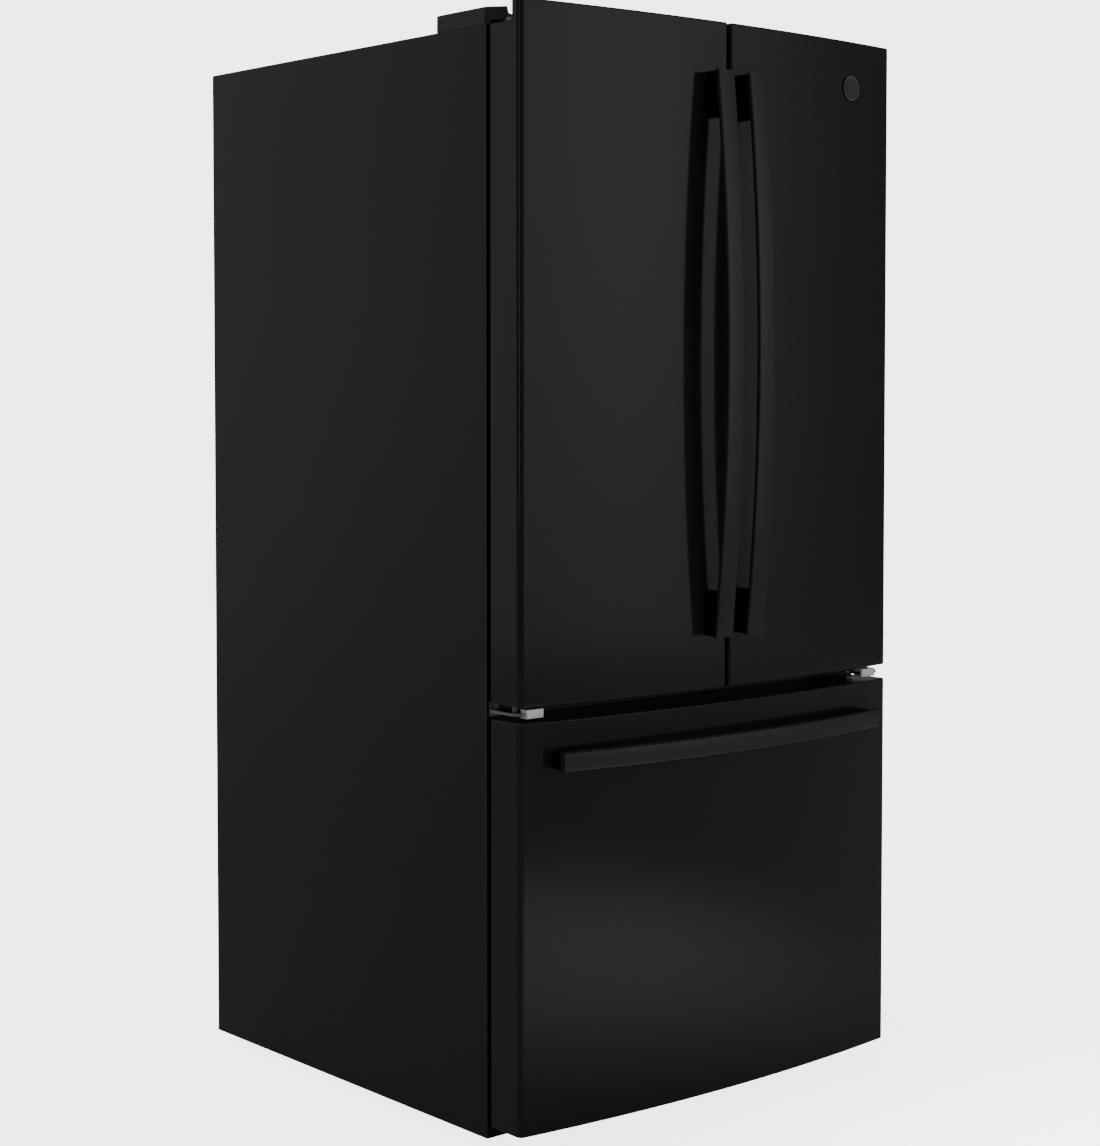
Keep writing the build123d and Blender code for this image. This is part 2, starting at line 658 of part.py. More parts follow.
def export_upper_basket():
    """Make the freezer's upper basket, whose side lips run on the liner's ribs."""
    basket_x = CAVITY_X - LINER - RIB_W - 6
    lip_low = BASE + RIB_LOW + RIB_T + 0.5
    with BuildPart() as upper_basket:
        basket_z = (BASE + RIB_LOW - 50, BASE + RIB_LOW + 100)
        tray((-basket_x, basket_x), inward(20, EVAP_COVER_Y - 40), basket_z, BASKET_WALL, 20)
        for side in (LEFT, RIGHT):
            lip_x = across(side, basket_x - BASKET_WALL, CAVITY_X - LINER - 3)
            slab(lip_x, inward(45, EVAP_COVER_Y - 60), (lip_low, lip_low + 4))
    export(upper_basket, "upper_basket")


def export_crisper(side, name):
    """Make one crisper drawer with its front pull lip."""
    x = across(side, *CRISPER_X)
    y = inward(CRISPER_FRONT, CRISPER_FRONT + CRISPER_D)
    with BuildPart() as crisper:
        tray(x, y, CRISPER_Z, CRISPER_WALL, 12)
        middle = (x[0] + x[1]) / 2
        lip_z = (CRISPER_Z[1] - 24, CRISPER_Z[1] - 12)
        slab((middle - 60, middle + 60), (y[0] - 6, y[0] + CRISPER_WALL), lip_z)
    export(crisper, name)


def shelf_spots():
    """Return each half shelf's side and rim height: two on each side, staggered."""
    pitch = (FRESH_Z[1] - COVER_Z[1]) / 3
    spots = []
    for side in (LEFT, RIGHT):
        for level in (1, 2):
            spots.append((side, COVER_Z[1] + pitch * level - side * SHELF_STAGGER))
    return spots


def rim(x, y, z):
    """Add a shelf rim with a ledge for its glass, and return the glass pane's ranges."""
    slab(x, y, z)
    hole = SHELF_RIM
    slab((x[0] + hole, x[1] - hole), (y[0] + hole, y[1] - hole), z, Mode.SUBTRACT)
    pane_x, pane_y, pane_z = pane(x, y, z)
    slab(pane_x, pane_y, (pane_z[0], z[1]), Mode.SUBTRACT)


def pane(x, y, z):
    """Return the ranges of the glass pane that lies in a shelf rim."""
    lap = SHELF_RIM - SHELF_LEDGE
    return (x[0] + lap, x[1] - lap), (y[0] + lap, y[1] - lap), (z[1] - 1 - GLASS_T, z[1] - 1)


def shelf_rims():
    """Return the ranges of every glazed rim: the four half shelves and the crisper cover."""
    rims = []
    for side, height in shelf_spots():
        x = across(side, 8, CAVITY_X - LINER - 6)
        rims.append((x, inward(SHELF_FRONT, SHELF_FRONT + COVER_D), (height - SHELF_H, height)))
    cover_x = CAVITY_X - LINER - 2
    rims.append(((-cover_x, cover_x), inward(SHELF_FRONT, SHELF_FRONT + COVER_D), COVER_Z))
    return rims


def export_shelves():
    """Make the shelf frames, their glass panes, the slotted tracks and the duct panel behind them."""
    brackets = [20.0, DUCT_HALF - 12]
    bracket_t = 5.0
    arm_y = inward(SHELF_FRONT + 4, TRACK_FRONT)
    with BuildPart() as shelf_frames:
        for x, y, z in shelf_rims():
            rim(x, y, z)
        for side, height in shelf_spots():
            for away in brackets:
                low = height - SHELF_H
                plane = Plane.YZ.offset(side * away - bracket_t / 2)
                with BuildSketch(plane) as web:
                    with BuildLine():
                        Polyline(
                            (arm_y[0], low),
                            (arm_y[1], low),
                            (arm_y[1], low - 34),
                            (arm_y[0], low - 12),
                            close=True,
                        )
                    make_face()
                extrude(web.sketch, amount=bracket_t)
        divider_z = (FRESH_Z[0] + LINER, COVER_Z[0])
        slab((-CRISPER_FIT, CRISPER_FIT), inward(CRISPER_FRONT + 10, CRISPER_FRONT + CRISPER_D), divider_z)
    export(shelf_frames, "shelf_frames")

    with BuildPart() as shelf_glass:
        for ranges in shelf_rims():
            slab(*pane(*ranges))
    export(shelf_glass, "shelf_glass")

    track_z = (COVER_Z[1] + 30, FRESH_Z[1] - 30)
    slot_pitch = 25.0
    slots = int((track_z[1] - track_z[0]) / slot_pitch) - 1
    track_w = 14.0
    with BuildPart() as shelf_ladders:
        for side in (LEFT, RIGHT):
            for away in brackets:
                x = (side * away - track_w / 2, side * away + track_w / 2)
                slab(x, inward(TRACK_FRONT, TRACK_FRONT + TRACK_T), track_z)
                with BuildSketch(Plane.XZ.offset(-FRONT - TRACK_FRONT)) as slot_row:
                    with Locations((side * away, (track_z[0] + track_z[1]) / 2)):
                        with GridLocations(8, slot_pitch, 2, slots):
                            Rectangle(2.5, 12)
                extrude(slot_row.sketch, amount=-2, mode=Mode.SUBTRACT)
    export(shelf_ladders, "shelf_ladders")

    duct_y = inward(TRACK_FRONT + TRACK_T, TRACK_FRONT + TRACK_T + DUCT_T)
    duct_z = (COVER_Z[1] + 10, FRESH_Z[1] - LINER - 10)
    with BuildPart() as air_tower:
        slab((-DUCT_HALF, DUCT_HALF), duct_y, duct_z)
        hollow_z = (duct_z[0] + 20, duct_z[1] - 20)
        slab((-DUCT_HALF + 20, DUCT_HALF - 20), (duct_y[0] + 2.5, duct_y[1]), hollow_z, Mode.SUBTRACT)
        with BuildSketch(Plane.XZ.offset(-duct_y[0])) as vents:
            with Locations((0, (duct_z[0] + duct_z[1]) / 2)):
                with GridLocations(170, (duct_z[1] - duct_z[0]) / 4, 2, 3):
                    with GridLocations(1, 14, 1, 4):
                        SlotOverall(90, 6)
        extrude(vents.sketch, amount=-3, mode=Mode.SUBTRACT)
    export(air_tower, "air_tower")


def export_controls():
    """Make the control panel and the lights under the fresh food compartment's ceiling."""
    ceiling = FRESH_Z[1] - LINER
    with BuildPart() as control_panel:
        slab((-130, 130), inward(108, 190), (ceiling - 26, ceiling))
        lower = control_panel.edges().group_by(Axis.Z)[0]
        fillet(lower, 6)
        with BuildSketch(Plane.XY.offset(ceiling - 26)) as keys:
            with Locations((0, FRONT + 150)):
                with GridLocations(40, 1, 5, 1):
                    SlotOverall(24, 12)
        extrude(keys.sketch, amount=1, mode=Mode.SUBTRACT)
    export(control_panel, "control_panel")
    side_y = inward(112, 130)
    wall = CAVITY_X - LINER
    with BuildPart() as led_lights:
        slab((-240, 240), inward(215, 240), (ceiling - 8, ceiling))
        for side in (LEFT, RIGHT):
            slab(across(side, wall - 4, wall), side_y, (COVER_Z[1] + 60, ceiling - 80))
    export(led_lights, "led_lights")


def serpentine(x_half, z_low, pitch, runs, y, radius):
    """Add one tube that runs back and forth across, with a round bend at each turn."""
    points = []
    for run in range(runs):
        ends = (-x_half, x_half) if run % 2 == 0 else (x_half, -x_half)
        points += [(end, y, z_low + run * pitch) for end in ends]
    with BuildLine() as path:
        FilletPolyline(*points, radius=pitch / 2 * 0.98)
    with BuildSketch(Plane(origin=path.line @ 0, z_dir=path.line % 0)) as section:
        Circle(radius)
    sweep(section.sketch, path=path.line)


def heat_exchanger(middle, x_half, z_low, pitch, runs, radius, fin_y, fins):
    """Make a heat exchanger: a serpentine tube through a row of upright fins."""
    top = z_low + pitch * (runs - 1)
    with BuildPart() as coil:
        serpentine(x_half, z_low, pitch, runs, middle, radius)
        for index in range(fins):
            x = -x_half * 0.84 + index * x_half * 1.68 / (fins - 1)
            slab((x - 0.5, x + 0.5), (middle - fin_y, middle + fin_y), (z_low - 10, top + 10))
    return coil


def fan_wheel(plane, radius, width):
    """Make an axial fan wheel on a plane: a bored hub and five pitched blades."""
    blades = 5
    hub_r = radius * 0.3
    with BuildPart(plane) as wheel:
        with PolarLocations(radius * 0.58, blades):
            Box(radius * 0.74, radius * 0.5, 1.6, rotation=(28, 0, 0))
        Cylinder(radius, width * 3, mode=Mode.INTERSECT)
        Cylinder(hub_r, width)
        Cylinder(SHAFT_R + RUNNING_FIT, width * 4, mode=Mode.SUBTRACT)
    return wheel


def export_cooling():
    """Make the evaporator behind the freezer's rear cover, with its fan."""
    cover_z = (BASE + FREEZER_STEP + LINER, FREEZER_Z[1] - LINER)
    fan_z = cover_z[1] - EVAP_FAN_R - 18
    fan_y = FRONT + EVAP_COVER_Y + 34
    coil = heat_exchanger(FRONT + EVAP_COVER_Y + 60, 300, cover_z[0] + 30, 34, 6, 4.5, 22, 18)
    export(coil, "evaporator_coil")
    with BuildPart() as evaporator_cover:
        cover_x = CAVITY_X - LINER - 1
        slab((-cover_x, cover_x), inward(EVAP_COVER_Y, EVAP_COVER_Y + EVAP_COVER_T), cover_z)
        with BuildSketch(Plane.XZ.offset(-FRONT - EVAP_COVER_Y)) as vents:
            for x in (-210, 210):
                with Locations((x, fan_z)):
                    with GridLocations(1, 16, 1, 5):
                        SlotOverall(160, 7)
            with Locations((0, cover_z[0] + 30)):
                with GridLocations(1, 14, 1, 2):
                    SlotOverall(500, 6)
        extrude(vents.sketch, amount=-EVAP_COVER_T, mode=Mode.SUBTRACT)
        start = FRONT + EVAP_COVER_Y + EVAP_COVER_T
        rod(14, (0, start, fan_z), (0, fan_y - 12, fan_z))
        rod(SHAFT_R, (0, fan_y - 13, fan_z), (0, fan_y + 10, fan_z))
    export(evaporator_cover, "evaporator_cover")
    wheel = fan_wheel(Plane(origin=(0, fan_y, fan_z), z_dir=(0, 1, 0)), EVAP_FAN_R, 14)
    export(wheel, "evaporator_fan")


def export_base():
    """Make the base frame, levelling legs and the rear rollers on their axle."""
    web = 2.0
    rail_in = LEG_X - 18
    rail_out = LEG_X + 18
    rail_top = BASE + BASE_RECESS_H
    roller_y = BACK - ROLLER_SETBACK
    leg_y = FRONT + LEG_SETBACK
    with BuildPart() as base_frame:
        for side in (LEFT, RIGHT):
            slab(across(side, rail_in, rail_out), inward(LINER, CASE_D - 6), (BASE + 2, rail_top))
            channel_x = across(side, rail_in + web, rail_out - web)
            slab(channel_x, inward(30, CASE_D - 20), (BASE + 2, rail_top - web), Mode.SUBTRACT)
            slab(across(side, rail_in + 1, rail_out - 1), (leg_y - 22, leg_y + 22), (BASE + 2, BASE + 5))
            for wall in ((rail_in, rail_in + web), (rail_out - web, rail_out)):
                slab(across(side, *wall), (roller_y - 16, roller_y + 16), (BASE - 8, BASE + 4))
            stem_top = (side * LEG_X, leg_y, rail_top + 1)
            rod(STEM_R + RUNNING_FIT, (side * LEG_X, leg_y, BASE), stem_top, Mode.SUBTRACT)
        axle_x = rail_out + 10
        slab((-rail_in, rail_in), (BACK - MACHINE_D + 1, BACK - 6), (DECK - 2, DECK))
        slab((-rail_in, rail_in), inward(LINER, LINER + 2), (BASE + 2, rail_top))
        axle_end = (axle_x, roller_y, ROLLER_R)
        rod(AXLE_R + RUNNING_FIT, (-axle_x, roller_y, ROLLER_R), axle_end, Mode.SUBTRACT)
    export(base_frame, "base_frame")

    for side, name in ((LEFT, "levelling_leg_left"), (RIGHT, "levelling_leg_right")):
        x = side * LEG_X
        with BuildPart() as leg:
            rod(19, (x, leg_y, 0), (x, leg_y, 7))
            with BuildSketch(Plane.XY.offset(7)) as hexagon:
                with Locations((x, leg_y)):
                    RegularPolygon(10, 6)
            extrude(hexagon.sketch, amount=BASE + 1.6 - 7)
            rod(STEM_R, (x, leg_y, BASE), (x, leg_y, BASE + 27))
        export(leg, name)

    tip = rail_out + 6
    with BuildPart() as rear_rollers:
        rod(AXLE_R, (-tip, roller_y, ROLLER_R), (tip, roller_y, ROLLER_R))
        for side in (LEFT, RIGHT):
            start = (side * LEG_X - ROLLER_W / 2, roller_y, ROLLER_R)
            end = (side * LEG_X + ROLLER_W / 2, roller_y, ROLLER_R)
            rod(ROLLER_R, start, end)
    export(rear_rollers, "rear_rollers")


def export_machinery():
    """Make the compressor, condenser, fan, drain pan, cover and inlet at the lower back."""
    middle = BACK - MACHINE_D / 2
    compressor_x = -205.0
    with BuildPart() as compressor:
        cut = Plane(origin=(compressor_x, middle, DECK + 14), x_dir=(1, 0, 0), z_dir=(0, -1, 0))
        with BuildSketch(cut) as side_view:
            with BuildLine():
                Polyline((0, 0), (62, 0), (70, 20), (76, 24), (76, 70), (72, 78), (68, 104))
                ThreePointArc((68, 104), (50, 138), (0, 152))
                Line((0, 152), (0, 0))
            make_face()
        revolve(side_view.sketch, axis=Axis((compressor_x, middle, 0), (0, 0, 1)))
        for dx in (-62, 62):
            for dy in (-62, 62):
                rod(11, (compressor_x + dx, middle + dy, DECK), (compressor_x + dx, middle + dy, DECK + 12))
        slab((compressor_x - 78, compressor_x + 78), (middle - 78, middle + 78), (DECK + 12, DECK + 15))
        rod(5, (compressor_x + 40, middle - 30, DECK + 120), (compressor_x + 40, middle - 30, DECK + 190))
    export(compressor, "compressor")

    coil = heat_exchanger(middle + 50, 92, DECK + 42, 30, 6, 4, 30, 22)
    shift = 170.0
    with BuildPart() as condenser_coil:
        add(coil.part.moved(Location((shift, 0, 0))))
    export(condenser_coil, "condenser_coil")

    shroud_x = 20.0
    fan_z = DECK + 104
    with BuildPart() as fan_shroud:
        slab((shroud_x, shroud_x + 3), (middle - 90, middle + 110), (DECK, DECK + 200))
        rod(FAN_R + 5, (shroud_x - 1, middle + 10, fan_z), (shroud_x + 4, middle + 10, fan_z), Mode.SUBTRACT)
        slab((shroud_x, shroud_x + 3), (middle + 4, middle + 16), (DECK, DECK + 200))
        rod(20, (shroud_x - 30, middle + 10, fan_z), (shroud_x + 3, middle + 10, fan_z))
        rod(SHAFT_R, (shroud_x + 2, middle + 10, fan_z), (shroud_x + 32, middle + 10, fan_z))
    export(fan_shroud, "fan_shroud")
    wheel = fan_wheel(Plane(origin=(shroud_x + 20, middle + 10, fan_z), z_dir=(1, 0, 0)), FAN_R, 14)
    export(wheel, "condenser_fan")

    with BuildPart() as drain_pan:
        tray((60, 290), (middle - 20, middle + 108), (DECK, DECK + 26), 2.0, 12)
    export(drain_pan, "drain_pan")

    inlet_x, inlet_z = 330.0, BASE + 120
    with BuildPart() as machine_cover:
        slab((-MACHINE_X, MACHINE_X), PANEL_Y, (BASE + 14, MACHINE_TOP))
        with BuildSketch(Plane.XZ.offset(-PANEL_Y[1])) as vents:
            for x in (-205, 170):
                with Locations((x, BASE + 130)):
                    with GridLocations(28, 1, 9, 1):
                        SlotOverall(150, 8, rotation=90)
            with Locations((inlet_x, inlet_z)):
                Rectangle(46, 32)
        extrude(vents.sketch, amount=CASE_SHEET, mode=Mode.SUBTRACT)
    export(machine_cover, "machine_cover")

    with BuildPart() as power_inlet:
        slab((inlet_x - 23, inlet_x + 23), (PANEL_Y[0] - 24, PANEL_Y[1] + 2), (inlet_z - 16, inlet_z + 16))
        mouth_z = (inlet_z - 10, inlet_z + 10)
        slab((inlet_x - 16, inlet_x + 16), (PANEL_Y[0] - 16, PANEL_Y[1] + 3), mouth_z, Mode.SUBTRACT)
        for dx in (-8, 0, 8):
            pin_x = (inlet_x + dx - 1, inlet_x + dx + 1)
            slab(pin_x, (PANEL_Y[0] - 18, PANEL_Y[0] - 2), (inlet_z - 3, inlet_z + 3))
    export(power_inlet, "power_inlet")


def top_hinge_arms():
    """Make the two top hinge arms with their pins."""
    lean = math.radians(30)
    plate_y = FRONT + 34
    with BuildPart() as top_hinges:
        for side in (LEFT, RIGHT):
            x = side * HINGE_X
            inner = (side * math.cos(lean), math.sin(lean))
            far = (x - side * math.sin(lean) * 95, HINGE_Y + math.cos(lean) * 95)
            with BuildSketch(Plane.XY.offset(TOP)) as arm:
                with Locations((x, HINGE_Y)):
                    Circle(ARM_R)
                with BuildLine():
                    Polyline(
                        (x + inner[0] * ARM_R, HINGE_Y + inner[1] * ARM_R),
                        (far[0] + inner[0] * ARM_R, far[1] + inner[1] * ARM_R),
                        (far[0] - inner[0] * ARM_R, far[1] - inner[1] * ARM_R),
                        (x - inner[0] * ARM_R, HINGE_Y - inner[1] * ARM_R),
                        close=True,
                    )
                make_face()
                with Locations((side * (HINGE_X - 42), plate_y + 38)):
                    RectangleRounded(50, 76, 8)
            extrude(arm.sketch, amount=TOP_ARM_T)
            rod(PIN_R, (x, HINGE_Y, TOP - NOTCH_DROP - PIN_DEPTH + 1), (x, HINGE_Y, TOP + TOP_ARM_T))
    return top_hinges


def export_hinge_covers():
    """Make the plastic covers over the top hinges."""
    arms = top_hinge_arms()
    cover_h = 27.0
    wall = 2.0
    with BuildPart() as hinge_covers:
        for side in (LEFT, RIGHT):
            with BuildSketch(Plane.XY.offset(TOP)) as outline:
                cover_outline(side)
            extrude(outline.sketch, amount=cover_h)
        lids = hinge_covers.faces().group_by(Axis.Z)[-1]
        fillet(lids.edges(), 3)
        with BuildSketch(Plane.XY.offset(TOP)) as inside:
            for side in (LEFT, RIGHT):
                add(offset_outline(side, wall))
        extrude(inside.sketch, amount=cover_h - wall, mode=Mode.SUBTRACT)
        slab((-HALF_W, HALF_W), (FRONT - 60, FRONT - 1), (TOP - 1, TOP + TOP_ARM_T + 1.5), Mode.SUBTRACT)
        add(arms.part, mode=Mode.SUBTRACT)
    export(hinge_covers, "hinge_covers")


def cover_outline(side):
    """Draw a hinge cover's plan, with its nose towards the hinge pin and its back corners rounded."""
    outer = HALF_W - 2
    with BuildLine() as nose:
        Polyline(
            (side * outer, FRONT + 6),
            (side * (outer - 22.6), FRONT - 22),
            (side * (outer - 62), FRONT + 24),
            (side * (outer - 88), FRONT + 40),
            (side * (outer - 88), FRONT + 126),
            (side * outer, FRONT + 126),
            close=True,
        )
    make_face(nose.edges())


def offset_outline(side, wall):
    """Return a hinge cover's plan, drawn in by its wall."""
    with BuildSketch() as plan:
        cover_outline(side)
        offset(amount=-wall, kind=Kind.INTERSECTION, mode=Mode.REPLACE)
    return plan.sketch


def export_door_hinges():
    """Make the four hinge brackets with their pins, and the light cap on each centre arm."""
    top_hinges = top_hinge_arms()
    plate_t = 4.0
    arm_z = (RAIL_MID - 3.0, RAIL_MID + 1.5)
    with BuildPart() as centre_hinges:
        for side in (LEFT, RIGHT):
            plate_x = across(side, HINGE_X - 1, HALF_W - 3)
            slab(plate_x, (FRONT - plate_t, FRONT), (RAIL_MID - 8, RAIL_MID + 13))
            with BuildSketch(Plane.XY.offset(arm_z[0])) as arm:
                with BuildLine():
                    Polyline(
                        (side * (HALF_W - 3), FRONT),
                        (side * (HALF_W - 3), FRONT - 58),
                        (side * (HALF_W - 14), FRONT - 70),
                        (side * (HALF_W - 56), FRONT - 70),
                        (side * (HALF_W - 56), FRONT - 48),
                        (side * (HINGE_X - 16), FRONT - 34),
                        (side * (HINGE_X - 16), FRONT),
                        close=True,
                    )
                make_face()
            extrude(arm.sketch, amount=arm_z[1] - arm_z[0])
            pin_top = DOOR_Z[0] + PIN_DEPTH - 1
            rod(PIN_R, (side * HINGE_X, HINGE_Y, arm_z[0]), (side * HINGE_X, HINGE_Y, pin_top))
    with BuildPart() as door_hinges:
        add(top_hinges.part)
        add(centre_hinges.part)
    export(door_hinges, "door_hinges")

    cap_z = (RAIL_MID - 7, RAIL_MID + 6.5)
    with BuildPart() as hinge_caps:
        for side in (LEFT, RIGHT):
            slab(across(side, HALF_W - 54, HALF_W - 20), (FRONT - 73, FRONT - 56), cap_z)
        fillet(hinge_caps.edges().filter_by(Axis.Z), 2.5)
        add(centre_hinges.part, mode=Mode.SUBTRACT)
    export(hinge_caps, "hinge_caps")


def screw(head_r, point, direction, length):
    """Add a round-headed screw whose head seats on a point and whose shank runs along a direction."""
    head_h = 1.8
    base = Vector(*point)
    along = Vector(*direction)
    rod(head_r, tuple(base - along * head_h), tuple(base))
    rod(head_r * 0.45, tuple(base), tuple(base + along * length))


def export_screws():
    """Make the screws of the hinges, the back panel and the machine cover."""
    with BuildPart() as cabinet_screws:
        for side in (LEFT, RIGHT):
            for dy in (52, 92):
                screw(4.5, (side * (HINGE_X - 42), FRONT + dy, TOP + TOP_ARM_T), (0, 0, -1), 18)
            screw(4.2, (side * (HALF_W - 10), FRONT - 4, RAIL_MID + 7.5), (0, 1, 0), 16)
            for step in range(5):
                z = MACHINE_TOP + 40 + step * (CASE_H - MACHINE_H - 80) / 4
                screw(4.2, (side * (HALF_W - 16), PANEL_Y[1], z), (0, -1, 0), 14)
            for z in (BASE + 40, MACHINE_TOP - 12):
                screw(4.2, (side * (MACHINE_X - 12), PANEL_Y[1], z), (0, -1, 0), 10)
    export(cabinet_screws, "cabinet_screws")


export_cabinet_shells()
for door_side, door_name, bin_count in ((LEFT, "left_door", 3), (RIGHT, "right_door", 2)):
    export_door_shell(door_side, door_name)
    export_door_handle(door_side, door_name)
    export_bins(door_side, f"{door_name}_bins", bin_count)
export_flipper()
export_dairy_lid()
export_badge()
export_drawer()
export_slides()
export_upper_basket()
export_crisper(LEFT, "crisper_left")
export_crisper(RIGHT, "crisper_right")
export_shelves()
export_controls()
export_cooling()
export_base()
export_machinery()
export_door_hinges()
export_hinge_covers()
export_screws()
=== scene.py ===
"""Looks of a black french door refrigerator with a bottom freezer drawer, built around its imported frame."""
import json
import logging
import math
from dataclasses import dataclass
from enum import Enum
from typing import Any, Sequence

import bpy
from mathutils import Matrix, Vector


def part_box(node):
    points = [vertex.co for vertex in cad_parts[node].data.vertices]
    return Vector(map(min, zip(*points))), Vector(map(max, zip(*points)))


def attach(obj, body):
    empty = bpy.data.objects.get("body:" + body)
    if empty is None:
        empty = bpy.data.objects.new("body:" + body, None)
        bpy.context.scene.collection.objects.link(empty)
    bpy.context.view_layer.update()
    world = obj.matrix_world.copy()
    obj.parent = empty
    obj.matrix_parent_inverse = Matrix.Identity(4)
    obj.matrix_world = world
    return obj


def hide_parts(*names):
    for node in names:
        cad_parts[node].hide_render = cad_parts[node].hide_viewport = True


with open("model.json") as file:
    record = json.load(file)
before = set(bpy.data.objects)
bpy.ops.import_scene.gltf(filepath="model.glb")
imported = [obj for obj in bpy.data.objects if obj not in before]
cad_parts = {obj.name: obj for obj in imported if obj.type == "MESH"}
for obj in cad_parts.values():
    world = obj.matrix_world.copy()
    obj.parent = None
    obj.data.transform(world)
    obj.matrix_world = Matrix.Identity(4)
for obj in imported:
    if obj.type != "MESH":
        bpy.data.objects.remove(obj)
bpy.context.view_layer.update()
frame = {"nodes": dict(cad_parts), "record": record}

LOG = logging.getLogger("refrigerator")
MM = 0.001

Colour = tuple[float, float, float]
Point = tuple[float, float, float]


# ---------------------------------------------------------------- shader maths


class Signal:
    """A number that varies over a surface, carried by a shader socket."""

    def __init__(self, nodes: "Nodes", socket: bpy.types.NodeSocket) -> None:
        """Wraps a socket.

        Args:
            nodes: The node tree that the socket belongs to.
            socket: An output socket that carries the number.
        """
        self.nodes = nodes
        self.socket = socket

    def _math(self, operation: str, first: Any, second: Any) -> "Signal":
        """Adds one Math node and returns its result."""
        node = self.nodes.node("ShaderNodeMath", {"operation": operation}, {0: first, 1: second})
        return Signal(self.nodes, node.outputs[0])

    def __add__(self, other: "Signal | float") -> "Signal":
        """Returns self + other."""
        return self._math("ADD", self, other)

    def __radd__(self, other: float) -> "Signal":
        """Returns other + self."""
        return self._math("ADD", other, self)

    def __sub__(self, other: "Signal | float") -> "Signal":
        """Returns self - other."""
        return self._math("SUBTRACT", self, other)

    def __rsub__(self, other: float) -> "Signal":
        """Returns other - self."""
        return self._math("SUBTRACT", other, self)

    def __mul__(self, other: "Signal | float") -> "Signal":
        """Returns self * other."""
        return self._math("MULTIPLY", self, other)

    def __rmul__(self, other: float) -> "Signal":
        """Returns other * self."""
        return self._math("MULTIPLY", other, self)

    def __pow__(self, other: float) -> "Signal":
        """Returns self to the power of other."""
        return self._math("POWER", self, other)

    def above(self, low: float) -> "Signal":
        """Returns 1 where self is greater than low, and 0 elsewhere."""
        return self._math("GREATER_THAN", self, low)

    def below(self, high: float) -> "Signal":
        """Returns 1 where self is less than high, and 0 elsewhere."""
        return self._math("LESS_THAN", self, high)

    def at_least(self, low: float) -> "Signal":
        """Returns self, but never under low."""
        return self._math("MAXIMUM", self, low)


class Nodes:
    """A node tree and the ways to add nodes to it."""

    def __init__(self, tree: bpy.types.NodeTree) -> None:
        """Wraps a node tree."""
        self.tree = tree

    def node(
        self, kind: str, settings: dict[str, Any] | None = None, sockets: dict[Any, Any] | None = None
    ) -> bpy.types.Node:
        """Adds a node, sets its settings first, and then its sockets.

        Args:
            kind: The node's Blender type name.
            settings: Property names and values. The key "stops" holds a ramp's positions and greys.
            sockets: Input names or indexes, and the value, socket or Signal that each one gets.

        Returns:
            The new node.
        """
        made = self.tree.nodes.new(kind)
        for name, value in (settings or {}).items():
            if name == "stops":
                self._set_stops(made.color_ramp, value)
            else:
                setattr(made, name, value)
        for name, value in (sockets or {}).items():
            self.feed(made.inputs[name], value)
        return made

    def _set_stops(self, ramp: bpy.types.ColorRamp, stops: Sequence[tuple[float, float]]) -> None:
        """Gives a ramp its stops, each a position and a grey."""
        while len(ramp.elements) < len(stops):
            ramp.elements.new(1.0)
        for element, (position, grey) in zip(ramp.elements, stops):
            element.position = position
            element.color = (grey, grey, grey, 1.0)

    def feed(self, socket: bpy.types.NodeSocket, value: Any) -> None:
        """Links or sets one input socket.

        Args:
            socket: The input socket.
            value: A Signal or an output socket to link, or a plain value to set.
        """
        if isinstance(value, Signal):
            value = value.socket
        if isinstance(value, bpy.types.NodeSocket):
            self.tree.links.new(value, socket)
        elif isinstance(value, tuple) and len(value) == 3 and len(socket.default_value) == 4:
            socket.default_value = (*value, 1.0)
        else:
            socket.default_value = value

    def along(self, direction: bpy.types.NodeSocket, axis: Point, sharpness: float) -> Signal:
        """Returns a smooth lobe round an axis.

        Args:
            direction: A unit direction.
            axis: The direction where the lobe is 1.
            sharpness: The power that narrows the lobe.
        """
        sockets = {0: direction, 1: tuple(Vector(axis).normalized())}
        dot = self.node("ShaderNodeVectorMath", {"operation": "DOT_PRODUCT"}, sockets).outputs["Value"]
        return Signal(self, dot).at_least(0.0) ** sharpness


